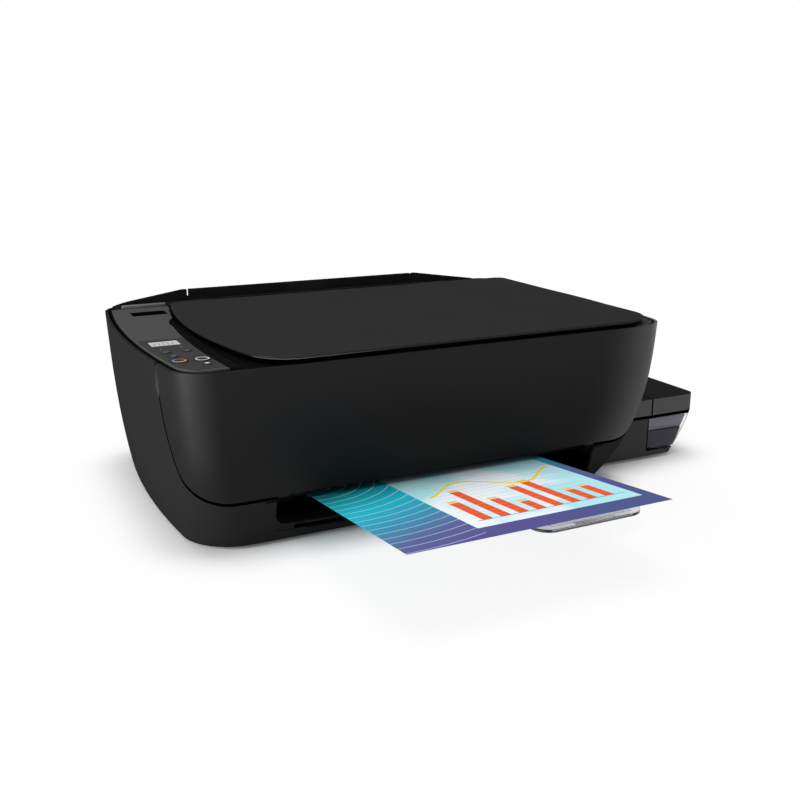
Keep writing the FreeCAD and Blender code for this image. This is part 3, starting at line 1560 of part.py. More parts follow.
# Ink tubes: four lines from the tank, through the case side, up the frame and along behind the rail
tube_x1 = right + s.tank_wall
tube_turn_x = frame_right_x + s.frame_thick + s.tube_stand
bend = s.tube_bend.value
tubes = []
for index in range(4):
    y = tube_y0 + s.tube_pitch * index
    lift = s.tube_low.value
    high = s.tube_high.value
    x = tube_turn_x.value
    corner = bend * (1 - math.sqrt(0.5))
    path = Part.Wire([
        line(vec(tube_x1, y, lift), vec(x + bend, y, lift)),
        arc(vec(x + bend, y, lift), vec(x + corner, y, lift + corner), vec(x, y, lift + bend)),
        line(vec(x, y, lift + bend), vec(x, y, high - bend)),
        arc(vec(x, y, high - bend), vec(x - corner, y, high - corner), vec(x - bend, y, high)),
        line(vec(x - bend, y, high), vec(clamp_x0 + s.clamp_width, y, high)),
    ])
    ring = Part.Wire(Part.makeCircle(s.tube_radius.value, vec(tube_x1, y, lift), vec(1, 0, 0)))
    tube = path.makePipeShell([ring], True, False)
    tubes.append(tube)
piece(formed("ink_tubes", Part.makeCompound(tubes)))

doc.recompute()

# Every object has to be sound before anything is written
for thing in doc.Objects:
    if {"Invalid", "Error"} & set(thing.State):
        raise RuntimeError(f"{thing.Label} failed: {thing.State}")
for part in pieces:
    if part.Shape.isNull() or not part.Shape.isValid() or not part.Shape.Solids:
        raise RuntimeError(f"{part.Label} has no sound shape")
os.makedirs("parts", exist_ok=True)
for part in pieces:
    part.Shape.exportStep(f"parts/{part.Label}.step")
print(len(pieces), "sub-parts")
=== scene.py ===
import json
import math
import bpy
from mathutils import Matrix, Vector

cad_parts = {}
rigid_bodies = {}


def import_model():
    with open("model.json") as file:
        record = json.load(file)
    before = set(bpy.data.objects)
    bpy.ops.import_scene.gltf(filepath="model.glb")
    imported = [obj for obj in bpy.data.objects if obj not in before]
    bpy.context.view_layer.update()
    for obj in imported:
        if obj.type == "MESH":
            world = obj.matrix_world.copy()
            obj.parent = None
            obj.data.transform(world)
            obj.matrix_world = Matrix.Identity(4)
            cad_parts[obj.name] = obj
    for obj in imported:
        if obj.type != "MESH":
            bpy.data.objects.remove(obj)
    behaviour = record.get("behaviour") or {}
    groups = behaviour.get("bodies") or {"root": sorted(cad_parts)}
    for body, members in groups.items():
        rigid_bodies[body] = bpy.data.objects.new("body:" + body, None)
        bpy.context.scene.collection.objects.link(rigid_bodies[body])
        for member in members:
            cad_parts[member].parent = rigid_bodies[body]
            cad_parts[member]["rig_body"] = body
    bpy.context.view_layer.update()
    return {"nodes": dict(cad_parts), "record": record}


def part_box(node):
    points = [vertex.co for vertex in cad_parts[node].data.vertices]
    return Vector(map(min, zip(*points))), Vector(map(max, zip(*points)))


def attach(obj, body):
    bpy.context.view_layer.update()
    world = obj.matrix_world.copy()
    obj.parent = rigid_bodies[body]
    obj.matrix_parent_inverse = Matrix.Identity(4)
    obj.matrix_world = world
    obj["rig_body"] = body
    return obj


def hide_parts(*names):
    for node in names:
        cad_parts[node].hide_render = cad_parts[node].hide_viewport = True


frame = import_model()

# The table and the light. A plain pale table under the printer, one large soft lamp overhead and lower
# soft lamps at both sides; the table keeps its shade beside the feet and fades into white farther off.
scene = bpy.context.scene
scene.view_settings.view_transform = "Standard"


class Value:
    """A socket that takes part in sums: each sum adds a Math node to the finish it belongs to."""

    def __init__(self, finish, socket):
        self.finish = finish
        self.socket = socket

    def math(self, operation, *terms):
        """Adds one Math node."""
        sockets = dict(enumerate(terms))
        return self.finish.node("ShaderNodeMath", {"operation": operation}, sockets)

    def __add__(self, other):
        return self.math("ADD", self, other)

    def __radd__(self, other):
        return self.math("ADD", other, self)

    def __sub__(self, other):
        return self.math("SUBTRACT", self, other)

    def __rsub__(self, other):
        return self.math("SUBTRACT", other, self)

    def __mul__(self, other):
        return self.math("MULTIPLY", self, other)

    def __rmul__(self, other):
        return self.math("MULTIPLY", other, self)

    def __truediv__(self, other):
        return self.math("DIVIDE", self, other)

    def __gt__(self, other):
        return self.math("GREATER_THAN", self, other)

    def __lt__(self, other):
        return self.math("LESS_THAN", self, other)

    def sine(self):
        return self.math("SINE", self)

    def size(self):
        return self.math("ABSOLUTE", self)

    def floor(self):
        return self.math("FLOOR", self)

    def part(self):
        return self.math("FRACT", self)

    def root(self):
        return self.math("SQRT", self)

    def angle(self, across):
        return self.math("ARCTAN2", self, across)

    def held(self, low, high):
        """Runs from 0 to 1 between two values, with soft ends."""
        settings = {"interpolation_type": "SMOOTHSTEP"}
        sockets = {"Value": self, "From Min": low, "From Max": high}
        return self.finish.node("ShaderNodeMapRange", settings, sockets)


class Finish:
    """A surface: its node tree and the one method that adds nodes to it."""

    # Places of the colour sockets on a Mix node
    FIRST_COLOUR, SECOND_COLOUR, MIXED_COLOUR = 6, 7, 2

    def __init__(self, name, tree=None):
        if tree is None:
            self.material = bpy.data.materials.new(name)
            self.material.use_nodes = True
            tree = self.material.node_tree
        self.tree = tree
        self.tree.nodes.clear()

    def node(self, kind, settings=None, sockets=None, out=0):
        """Adds a node of a type, with its settings and its sockets' values or links, and gives one output."""
        node = self.tree.nodes.new(kind)
        for key, value in (settings or {}).items():
            if key == "stops":
                ramp = node.color_ramp.elements
                while len(ramp) < len(value):
                    ramp.new(1.0)
                for stop, (place, colour) in zip(ramp, value):
                    stop.position = place
                    stop.color = (*colour, 1.0)
            else:
                setattr(node, key, value)
        for key, value in (sockets or {}).items():
            if isinstance(value, Value):
                self.tree.links.new(value.socket, node.inputs[key])
            else:
                node.inputs[key].default_value = value
        return Value(self, node.outputs[out])

    def place(self):
        """Where a point lies on its piece, in metres."""
        return self.node("ShaderNodeTexCoord", out="Object")

    def axes(self):
        """The same place as three values."""
        place = self.place()
        return [self.node("ShaderNodeSeparateXYZ", {}, {0: place}, axis) for axis in "XYZ"]

    def noise(self, scale, detail, place=None):
        """Clouds at a small scale, grain at a large one."""
        sockets = {"Vector": place or self.place(), "Scale": scale, "Detail": detail}
        return self.node("ShaderNodeTexNoise", {}, sockets, "Fac")

    def mix(self, share, first, second):
        """A colour between two others, each of them a plain colour or a link."""
        ends = [end if isinstance(end, Value) else (*end, 1.0) for end in (first, second)]
        sockets = {0: share, self.FIRST_COLOUR: ends[0], self.SECOND_COLOUR: ends[1]}
        return self.node("ShaderNodeMix", {"data_type": "RGBA"}, sockets, self.MIXED_COLOUR)

    def bump(self, height, depth):
        """Fine relief, its depth in metres."""
        return self.node("ShaderNodeBump", {}, {"Height": height, "Distance": depth})

    def seen(self):
        """1 for a ray that the eye follows: straight, mirrored, or through something clear."""
        straight, mirrored, through = (self.node("ShaderNodeLightPath", out=f"Is {ray} Ray")
                                       for ray in ("Camera", "Glossy", "Transmission"))
        return (straight + mirrored + through) > 0.5

    def surface(self, **sockets):
        """The finished material, from the sockets of its shader."""
        named = {key.replace("_", " "): value for key, value in sockets.items()}
        shader = self.node("ShaderNodeBsdfPrincipled", {}, named)
        return self.close(shader)

    def close(self, shader):
        """Links a shader to the material's output."""
        output = self.tree.nodes.new("ShaderNodeOutputMaterial")
        self.tree.links.new(shader.socket, output.inputs["Surface"])
        return self.material


LAMP_AIM = Vector((-0.02, 0.03, 0.08))


def lamp(name, place, width, height, power):
    """A soft oblong lamp, turned to the middle of the printer."""
    bpy.ops.object.light_add(type="AREA", location=place)
    light = bpy.context.object
    light.name = name
    light.data.shape = "RECTANGLE"
    light.data.size = width
    light.data.size_y = height
    light.data.energy = power
    light.rotation_euler = (LAMP_AIM - Vector(place)).to_track_quat("-Z", "Y").to_euler()


lamp("lamp_over", (0.1, 0.2, 1.7), width=1.6, height=1.3, power=20.0)
lamp("lamp_left", (-1.3, -0.30, 0.5), width=0.34, height=1.0, power=3.0)
lamp("lamp_low_left", (-1.15, -0.12, 0.25), width=0.45, height=0.40, power=9.0)
lamp("lamp_low_right", (1.3, 0.30, 0.14), width=0.50, height=0.26, power=8.0)

ROOM_LIGHT = 0.42
PURE_WHITE = (1.0, 1.0, 1.0, 1.0)
world = bpy.data.worlds.new("studio_air")
scene.world = world
world.use_nodes = True
air = Finish("studio_air", world.node_tree)
glow = air.node("ShaderNodeBackground", {}, {
    "Color": PURE_WHITE, "Strength": air.seen() * (1 - ROOM_LIGHT) + ROOM_LIGHT})
air.tree.links.new(glow.socket, air.tree.nodes.new("ShaderNodeOutputWorld").inputs["Surface"])

TABLE_WIDTH = 16.0
FADE_START, FADE_END = 0.42, 1.15
SHADE_REACH = 0.052
WHITE_LEAST, WHITE_CLEAR, WHITE_FAR = 0.05, 0.82, 0.13
bpy.ops.object.select_all(action="DESELECT")
bpy.ops.mesh.primitive_grid_add(x_subdivisions=4, y_subdivisions=4, size=TABLE_WIDTH)
table = bpy.context.object
table.name = "table"
paint = Finish("table_paint")
across, along, _ = paint.axes()
far = (across * across + along * along).root().held(FADE_START, FADE_END)


def beside(middle, half, corner):
    """How far a point of the table lies outside the round-cornered print of a foot."""
    aside = (across - middle[0]).size() - (half[0] - corner)
    ahead = (along - middle[1]).size() - (half[1] - corner)
    aside = aside.math("MAXIMUM", aside, 0.0)
    ahead = ahead.math("MAXIMUM", ahead, 0.0)
    return (aside * aside + ahead * ahead).root() - corner


case_foot = beside(middle=(-0.0511, 0.0809), half=(0.1964, 0.1355), corner=0.044)
tank_foot = beside(middle=(0.1882, 0.0873), half=(0.0536, 0.1120), corner=0.008)
clear_of_feet = case_foot.math("MINIMUM", case_foot, tank_foot).held(0.0, SHADE_REACH)
grain = paint.noise(60, 3)
matt = paint.node("ShaderNodeBsdfPrincipled", {}, {
    "Base Color": paint.mix(grain, (0.93, 0.93, 0.935), (0.96, 0.96, 0.96)),
    "Roughness": 0.7, "Specular IOR Level": 0.0})
white = paint.node("ShaderNodeEmission", {}, {"Color": PURE_WHITE, "Strength": 1.0})
share = paint.seen() * (far * WHITE_FAR + clear_of_feet * WHITE_CLEAR + WHITE_LEAST)
paint.close(paint.node("ShaderNodeMixShader", {}, {0: share, 1: matt, 2: white}))
table.data.materials.append(paint.material)

CAMERA_DIP, CAMERA_TURN = 15.846, -26.007
camera = bpy.data.objects.new("camera", bpy.data.cameras.new("camera"))
scene.collection.objects.link(camera)
camera.location = (-0.396965, -0.71791, 0.311231)
camera.rotation_euler = (math.radians(90 - CAMERA_DIP), 0.0, math.radians(CAMERA_TURN))
camera.data.lens = 43.65
camera.data.sensor_width = 36.0
camera.data.clip_start = 0.01
scene.camera = camera


# Feet, pan and frames. Four soft rubber pads and the screws beside them hold up a flat moulded pan with
# posts; two upright side frames stand on it and carry the rods, the rail and the rollers.
MM = 0.001
WELD = 0.000002
SHEEN_IOR = 4.0
SMOOTH_TURN = math.radians(32)
SLOTS = {entry["node"]: entry["material_slot"] for entry in frame["record"]["subparts"]}


def moulded(name, dark, light, rough, gloss, grain=1900.0, depth=0.00004):
    """Injection moulded plastic: faint clouding, a fine spark-eroded grain and a faint even gloss."""
    finish = Finish(name)
    cloud = finish.noise(14.0, 3)
    fine = finish.noise(grain, 2)
    return finish.surface(
        Base_Color=finish.mix(cloud * 0.6 + fine * 0.4, dark, light),
        Roughness=rough + (fine - 0.5) * 0.16 + (cloud - 0.5) * 0.10,
        Specular_IOR_Level=0.0,
        Coat_Weight=gloss * (fine * 0.4 + 0.8), Coat_IOR=SHEEN_IOR, Coat_Roughness=rough,
        Normal=finish.bump(fine, depth))


def metal(name, dark, light, rough, along):
    """Rolled or drawn steel: fine lines along the working direction and a little clouding."""
    finish = Finish(name)
    stretched = finish.node("ShaderNodeMapping", {}, {"Vector": finish.place(), "Scale": along})
    lines = finish.noise(900.0, 3, stretched)
    cloud = finish.noise(25.0, 2)
    return finish.surface(
        Base_Color=finish.mix(lines * 0.5 + cloud * 0.5, dark, light),
        Roughness=rough + (lines - 0.5) * 0.18, Metallic=1.0,
        Normal=finish.bump(lines, 0.00001))


def dress(material, *nodes):
    """Gives CAD solids that stay as they are their finish."""
    for node in nodes:
        data = frame["nodes"][node].data
        data.materials.clear()
        data.materials.append(material)


def only(*pieces):
    """Makes these the only selected objects, the first of them active."""
    bpy.ops.object.select_all(action="DESELECT")
    for piece in pieces:
        piece.select_set(True)
    bpy.context.view_layer.objects.active = pieces[0]


def modify(piece, kind, **settings):
    """Puts one modifier on a piece and applies it."""
    only(piece)
    tool = piece.modifiers.new(kind.lower(), kind)
    for key, value in settings.items():
        setattr(tool, key, value)
    bpy.ops.object.modifier_apply(modifier=tool.name)
    return piece


def smooth(piece):
    """Shades gentle turns smooth and keeps sharp ones sharp."""
    only(piece)
    bpy.ops.object.shade_smooth_by_angle(angle=SMOOTH_TURN)
    return modify(piece, "WEIGHTED_NORMAL", keep_sharp=True)


def round_over(piece, edge, segments=2, sharp=38.0):
    """A small mould radius on every sharp edge."""
    return modify(piece, "BEVEL", width=edge, segments=segments, limit_method="ANGLE",
                  angle_limit=math.radians(sharp))


def fit(piece, material, body, slot, *replaced):
    """Gives a finished piece its material and fixes it to a body, in place of solids if any are named."""
    piece.data.materials.clear()
    piece.data.materials.append(material)
    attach(piece, body)
    for node in replaced:
        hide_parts(node)
    return piece


def lift(node, name):
    """A copy of a solid with its triangles joined up, ready to be worked on."""
    piece = bpy.data.objects.new(name, frame["nodes"][node].data.copy())
    scene.collection.objects.link(piece)
    only(piece)
    bpy.ops.mesh.customdata_custom_splitnormals_clear()
    bpy.ops.object.mode_set(mode="EDIT")
    bpy.ops.mesh.select_all(action="SELECT")
    bpy.ops.mesh.remove_doubles(threshold=WELD)
    bpy.ops.mesh.dissolve_limited(angle_limit=math.radians(0.25))
    bpy.ops.object.mode_set(mode="OBJECT")
    return piece


def carve(piece, tool):
    """Takes a tool's form out of a piece and throws the tool away."""
    modify(piece, "BOOLEAN", object=tool, operation="DIFFERENCE", solver="EXACT")
    bpy.data.objects.remove(tool)


def cast(node, material, edge, segments=2, cuts=()):
    """A finished moulding made from a solid: cuts taken out, sharp edges rounded, faces smoothed."""
    piece = lift(node, node + "_cast")
    for tool in cuts:
        carve(piece, tool)
    round_over(piece, edge, segments)
    return fit(smooth(piece), material, frame["nodes"][node]["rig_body"], SLOTS[node], node)


def block(name, low, high, edge=0.4, segments=2):
    """A moulded block between two corners given in millimetres, with rounded edges."""
    low, high = Vector(low) * MM, Vector(high) * MM
    bpy.ops.object.select_all(action="DESELECT")
    bpy.ops.mesh.primitive_cube_add(size=1.0, location=(low + high) / 2, scale=high - low)
    piece = bpy.context.object
    piece.name = name
    bpy.ops.object.transform_apply(location=True, rotation=True, scale=True)
    if edge:
        bpy.ops.object.mode_set(mode="EDIT")
        bpy.ops.mesh.select_all(action="SELECT")
        bpy.ops.mesh.bevel(offset=edge * MM, segments=segments, affect="EDGES")
        bpy.ops.object.mode_set(mode="OBJECT")
    bpy.ops.object.shade_smooth_by_angle(angle=math.radians(40))
    return piece


TURN = {"x": (0.0, math.pi / 2, 0.0), "y": (math.pi / 2, 0.0, 0.0), "z": (0.0, 0.0, 0.0)}


def disc(name, axis, middle, radius, length, edge=0.3, sides=40):
    """A turned disc or bar round a middle point, in millimetres, with its rims chamfered."""
    bpy.ops.object.select_all(action="DESELECT")
    bpy.ops.mesh.primitive_cylinder_add(vertices=sides, radius=radius * MM, depth=length * MM,
                                        location=Vector(middle) * MM, rotation=TURN[axis])
    piece = bpy.context.object
    piece.name = name
    bpy.ops.object.transform_apply(location=True, rotation=True, scale=True)
    if edge:
        round_over(piece, edge * MM, 2, 60.0)
    only(piece)
    bpy.ops.object.shade_smooth_by_angle(angle=SMOOTH_TURN)
    return piece


def row(piece, count, step):
    """Repeats a piece along a step given in millimetres."""
    return modify(piece, "ARRAY", count=count, use_relative_offset=False, use_constant_offset=True,
                  constant_offset_displace=Vector(step) * MM)


def join(*pieces):
    """Makes one piece of several."""
    only(*pieces)
    bpy.ops.object.join()
    return pieces[0]


engine_black = moulded("engine_black", (0.0075, 0.0075, 0.0080), (0.0125, 0.0125, 0.0130), 0.55, 0.012)
foot_rubber = moulded("foot_rubber", (0.010, 0.010, 0.010), (0.020, 0.020, 0.020), 0.85, 0.005,
                      grain=900.0, depth=0.0001)
drawn_steel = metal("drawn_steel", (0.50, 0.50, 0.51), (0.66, 0.66, 0.67), 0.24, (0.05, 1.0, 1.0))
plated_sheet = metal("plated_sheet", (0.42, 0.43, 0.44), (0.58, 0.58, 0.60), 0.38, (0.08, 1.0, 1.0))
cast("rubber_feet", foot_rubber, 0.0006)
cast("base_pan", engine_black, 0.0005)
cast("side_frames", plated_sheet, 0.0003)
dress(engine_black, "platen", "service_station")
dress(drawn_steel, "guide_rod", "scan_rod", "case_screws")
dress(plated_sheet, "carriage_rail")

# Casing. The tapered shell of the printer in black polystyrene, one moulding with the output slot, the
# socket holes, a bank of vents low in its back and a finger scoop behind each end of the front door.
case_black = moulded("case_black", (0.0120, 0.0120, 0.0124), (0.0160, 0.0160, 0.0164), 0.45, 0.016)
# A lighter grey of the same plastic for the scoops' hollows: painted light.
scoop_painted_light = moulded("scoop_painted_light", (0.024, 0.024, 0.0245), (0.031, 0.031, 0.0315), 0.45, 0.020)
seam_shade = moulded("seam_shade", (0.0006, 0.0006, 0.0007), (0.0010, 0.0010, 0.0011), 0.8, 0.0)
SCOOPS = ((-256.3, -27.5, 130.0), (183.8, -27.5, 130.0))
SCOOP_HALF = (2.4, 9.0, 16.0)
SEAM_TOP = Vector((-24.15, 149.5))
SEAM_TURN = Vector((-25.65, 118.5))
SEAM_BELLY = Vector((-38.05, 75.5))
SEAM_END = Vector((-69.65, 41.3))
SEAM_FRONT = Vector((-78.0, 41.3))
SEAM_WIDTH = 2.4
SEAM_MIDDLE, SEAM_SPAN = -35.0, 480.0
SEAM_BACK, SEAM_SLACK = -18.0, 0.9
DROP_SHARE, BEND_SHARE = 0.25, 0.60
CURTAIN_STEPS, LINE_STEPS = 24, 80
VENT_COUNT, VENT_PITCH, VENT_WIDE = 14, 7, 3
VENT_LEFT, VENT_LOW, VENT_HIGH = -60, 24, 52


def circle_through(a, b, c):
    """Middle and radius of the circle through three points."""
    a2, b2, c2 = a.length_squared, b.length_squared, c.length_squared
    d = 2 * (a.x * (b.y - c.y) + b.x * (c.y - a.y) + c.x * (a.y - b.y))
    x = (a2 * (b.y - c.y) + b2 * (c.y - a.y) + c2 * (a.y - b.y)) / d
    y = (a2 * (c.x - b.x) + b2 * (a.x - c.x) + c2 * (b.x - a.x)) / d
    middle = Vector((x, y))
    return middle, (a - middle).length


SEAM_CENTRE, SEAM_RADIUS = circle_through(SEAM_TURN, SEAM_BELLY, SEAM_END)
BEND_START, BEND_END = (math.atan2(*(point - SEAM_CENTRE).yx) for point in (SEAM_TURN, SEAM_END))


def seam_point(share):
    """A point of the door's seam seen from the side: down from the rim, a long bend, and forward."""
    if share < DROP_SHARE:
        return SEAM_TOP.lerp(SEAM_TURN, share / DROP_SHARE)
    share -= DROP_SHARE
    if share < BEND_SHARE:
        angle = BEND_START + (BEND_END - BEND_START) * share / BEND_SHARE
        return SEAM_CENTRE + Vector((math.cos(angle), math.sin(angle))) * SEAM_RADIUS
    return SEAM_END.lerp(SEAM_FRONT, (share - BEND_SHARE) / (1 - DROP_SHARE - BEND_SHARE))


def seam_curtain(name):
    """A thin curtain behind the door's edge that opens the seam between casing and door."""
    bpy.ops.object.select_all(action="DESELECT")
    bpy.ops.mesh.primitive_grid_add(x_subdivisions=1, y_subdivisions=CURTAIN_STEPS, size=1.0)
    tool = bpy.context.object
    tool.name = name
    for point in tool.data.vertices:
        y, z = seam_point(point.co.y + 0.5)
        point.co = Vector((SEAM_MIDDLE + point.co.x * SEAM_SPAN, y, z)) * MM
    return modify(tool, "SOLIDIFY", thickness=SEAM_WIDTH * MM, offset=1.0)


def scoop(name, middle):
    """A long egg that hollows out a finger scoop."""
    bpy.ops.object.select_all(action="DESELECT")
    bpy.ops.mesh.primitive_uv_sphere_add(segments=40, ring_count=24, radius=1.0,
                                         location=Vector(middle) * MM, scale=Vector(SCOOP_HALF) * MM)
    tool = bpy.context.object
    tool.name = name
    bpy.ops.object.transform_apply(location=True, rotation=True, scale=True)
    return tool


SEAM_LINE = [seam_point(step / LINE_STEPS) for step in range(LINE_STEPS + 1)]


def in_seam(face):
    """True for a wall of the seam that faces the door."""
    spot = Vector(face.center[1:]) / MM
    if spot.x > SEAM_BACK or abs(face.normal.x) > 0.6:
        return False
    near = min(range(1, LINE_STEPS), key=lambda step: (spot - SEAM_LINE[step]).length)
    along = (SEAM_LINE[near + 1] - SEAM_LINE[near - 1]).normalized()
    to_door = face.normal.y * along.y - face.normal.z * along.x
    return (spot - SEAM_LINE[near]).length < SEAM_WIDTH + SEAM_SLACK and to_door > 0.75


def in_scoop(face):
    """True for the hollow of either scoop, where faces lie on the egg and look into it."""
    for middle in SCOOPS:
        away = face.center / MM - Vector(middle)
        share = Vector(part / half for part, half in zip(away, SCOOP_HALF))
        slope = Vector(part / half for part, half in zip(share, SCOOP_HALF)).normalized()
        if 0.9 < share.length < 1.06 and face.normal.dot(slope) < -0.85:
            return True
    return False


def coat(piece, material, test):
    """Gives a further finish to the faces of a piece that pass a test."""
    piece.data.materials.append(material)
    for face in piece.data.polygons:
        if test(face):
            face.material_index = len(piece.data.materials) - 1


vent = block("vent_tool", (VENT_LEFT, 205, VENT_LOW), (VENT_LEFT + VENT_WIDE, 240, VENT_HIGH), 1.2)
casing = cast("main_casing", case_black, 0.0005, cuts=(
    row(vent, VENT_COUNT, (VENT_PITCH, 0, 0)), seam_curtain("seam_curtain"),
    scoop("scoop_left", SCOOPS[0]), scoop("scoop_right", SCOOPS[1])))
coat(casing, seam_shade, in_seam)
# The scoops' hollows are coloured lighter than the casing: painted light where their faces catch the lamp.
coat(casing, scoop_painted_light, in_scoop)

# Back screws. Two plated steel screws with cross slots, driven from outside into the casing's back, hold
# the rear cover.
SCREW_PLACES = (-206.0, 136.0)
SCREW_LEVEL, SCREW_MIDDLE = 74.0, 223.6
SLOT_LONG, SLOT_WIDE, SLOT_FLOOR = 3.6, 0.8, 224.1
PAST_BACK = 230.0
screws = []
for x in SCREW_PLACES:
    screw = disc("back_screw", "y", (x, SCREW_MIDDLE, SCREW_LEVEL), 3.2, 2.4)
    for wide, tall in ((SLOT_LONG, SLOT_WIDE), (SLOT_WIDE, SLOT_LONG)):
        low = (x - wide / 2, SLOT_FLOOR, SCREW_LEVEL - tall / 2)
        high = (x + wide / 2, PAST_BACK, SCREW_LEVEL + tall / 2)
        carve(screw, block("screw_slit", low, high, 0.0))
    screws.append(screw)
fit(join(*screws), plated_sheet, "case", "steel")

# Trays. The output tray is a black plate in the floor of the slot, hollow under its front lip; a smoky clear
# extender slides out of it, and a flap at the extender's end stops the sheets.


def clear(name, tint, rough, bend=1.49, shine=0.25):
    """Clear polystyrene or glass: tinted, with faint flow marks and a light haze."""
    finish = Finish(name)
    flow = finish.noise(35.0, 3)
    fine = finish.noise(1500.0, 2)
    return finish.surface(
        Base_Color=finish.mix(flow, tuple(c * 0.93 for c in tint), tint),
        Roughness=rough + (fine - 0.5) * 0.06 + (flow - 0.5) * 0.05,
        IOR=bend, Specular_IOR_Level=shine, Transmission_Weight=1.0, Normal=finish.bump(flow, 0.00002))


extender_clear = clear("extender_clear", (0.66, 0.67, 0.72), 0.08)
cast("output_tray", engine_black, 0.0005, cuts=(
    block("tray_hollow", (-165, -64, 11.2), (99, -54, 15.4), 0.0),))
cast("tray_extender", extender_clear, 0.0004)
cast("paper_stop", extender_clear, 0.0003)
grip = row(block("extender_ridges", (28, -155.8, 15.2), (66, -154.8, 15.8), 0.3), 2, (0, 2.2, 0))
fit(grip, extender_clear, "tray_extender", "extender_clear")

CASE_TOP = 144.5
FRONT_TAPER = 19.0
CORNER_FACE, CORNER_HALFWAY = -73.1, -50.0
CORNER_LEFT, CORNER_RIGHT = -183.0, -166.0
CORNER_FLOOR, CORNER_TOP = 10.5, 27.0
CORNER_BEND, CORNER_RADIUS = -172.0, 10.0


def drawn_back(height):
    """How far the printer's front draws back at a height, in millimetres."""
    return FRONT_TAPER * ((CASE_TOP - height) / CASE_TOP) ** 3


corner = block("slot_corner", (CORNER_LEFT, -66.0, CORNER_FLOOR), (CORNER_RIGHT, -30.0, CORNER_TOP), 0.0)
carve(corner, disc("corner_round", "y", (CORNER_BEND, -45.0, CORNER_TOP), CORNER_RADIUS, 60.0, 0.0, 64))
carve(corner, block("corner_step", (CORNER_BEND, -80.0, CORNER_TOP - CORNER_RADIUS),
                    (-160.0, -20.0, 30.0), 0.0))
for point in corner.data.vertices:
    if point.co.y < CORNER_HALFWAY * MM:
        point.co.y = MM * (CORNER_FACE + drawn_back(point.co.z / MM))
smooth(round_over(corner, 0.0004))
fit(corner, case_black, "case", "case_plastic")
apron = block("tray_apron", (-166.5, -60.8, 15.3), (-159.0, -20.0, 16.9), 0.4)
fit(apron, engine_black, "case", "engine_plastic")

# Rollers. A plated shaft with six rubber sleeves feeds the sheet out under a bar of star wheels, which hold
# it down without smearing the ink; the long feed roller and the pickup roller lie behind.
grip_rubber = moulded("grip_rubber", (0.030, 0.030, 0.031), (0.048, 0.048, 0.049), 0.8, 0.008,
                      grain=1100.0, depth=0.0001)
STAR_Y = -18.65
STAR_Z = 35.6
STAR_X = -136.5
STAR_PITCH = 38.0
STAR_COUNT = 6
STAR_NOTCH = 0.82
STAR_SIDES = 24
STAR_RADIUS, STAR_THICK = 5.0, 0.5
HUB_RADIUS, HUB_LONG = 2.2, 6.0
BAR_LEFT, BAR_RIGHT = -224.5, 136.5
BAR_LOW, BAR_HIGH, ARM_FOOT = 41.2, 45.0, 33.6
cast("feed_roller", grip_rubber, 0.0003)
cast("output_roller", grip_rubber, 0.0004)
cast("pickup_roller", foot_rubber, 0.0005)
star = disc("star_wheels", "x", (STAR_X, STAR_Y, STAR_Z), STAR_RADIUS, STAR_THICK, 0.0, STAR_SIDES)
for point in star.data.vertices:
    out_y = point.co.y - STAR_Y * MM
    out_z = point.co.z - STAR_Z * MM
    if round(math.degrees(math.atan2(out_z, out_y)) * STAR_SIDES / 360) % 2:
        point.co.y = STAR_Y * MM + out_y * STAR_NOTCH
        point.co.z = STAR_Z * MM + out_z * STAR_NOTCH
hub = disc("star_hub", "x", (STAR_X, STAR_Y, STAR_Z), HUB_RADIUS, HUB_LONG)
fit(row(join(star, hub), STAR_COUNT, (STAR_PITCH, 0, 0)), drawn_steel, "case", "bright_steel")
bar = block("star_bar", (BAR_LEFT, STAR_Y - 5, BAR_LOW), (BAR_RIGHT, STAR_Y + 4, BAR_HIGH), 0.6)
arms = [row(block(f"star_arm_{side}", (STAR_X + side - 1, STAR_Y - 2.5, ARM_FOOT),
                  (STAR_X + side + 1, STAR_Y + 2.5, BAR_LOW + 0.8)), STAR_COUNT, (STAR_PITCH, 0, 0))
        for side in (-5, 5)]
fit(join(bar, *arms), engine_black, "case", "engine_plastic")

# Drive train. White acetal gears and pulleys pressed on their shafts, two rubber belts, and two motors in
# drawn steel cans, one behind the rail and one on a post of the pan.
gear_white = moulded("gear_white", (0.62, 0.62, 0.60), (0.74, 0.74, 0.72), 0.42, 0.10)
belt_rubber = moulded("belt_rubber", (0.014, 0.014, 0.014), (0.026, 0.026, 0.026), 0.75, 0.01,
                      grain=1200.0, depth=0.00008)
dress(gear_white, "feed_gear", "motor_pinion", "drive_pulley", "idler_pulley")
dress(belt_rubber, "drive_belts")
cast("carriage_motor", plated_sheet, 0.0012, 3)
cast("feed_motor", plated_sheet, 0.0012, 3)

# Carriage and heads. A black moulded cradle slides on the rod; two grey printheads are pressed into it,
# with ridges moulded on top for the fingers.
head_grey = moulded("head_grey", (0.05, 0.05, 0.055), (0.08, 0.08, 0.085), 0.5, 0.04)
cast("carriage", engine_black, 0.0007)
for head in ("black_printhead", "colour_printhead"):
    cast(head, head_grey, 0.0008)
    low, high = (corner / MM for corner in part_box(head))
    ridge = block(f"{head}_ridges", (low.x + 4, low.y + 5, high.z - 0.3),
                  (high.x - 4, low.y + 6.2, high.z + 0.7), 0.25)
    fit(row(ridge, 4, (0, 2.6, 0)), head_grey, "carriage", "head_plastic")

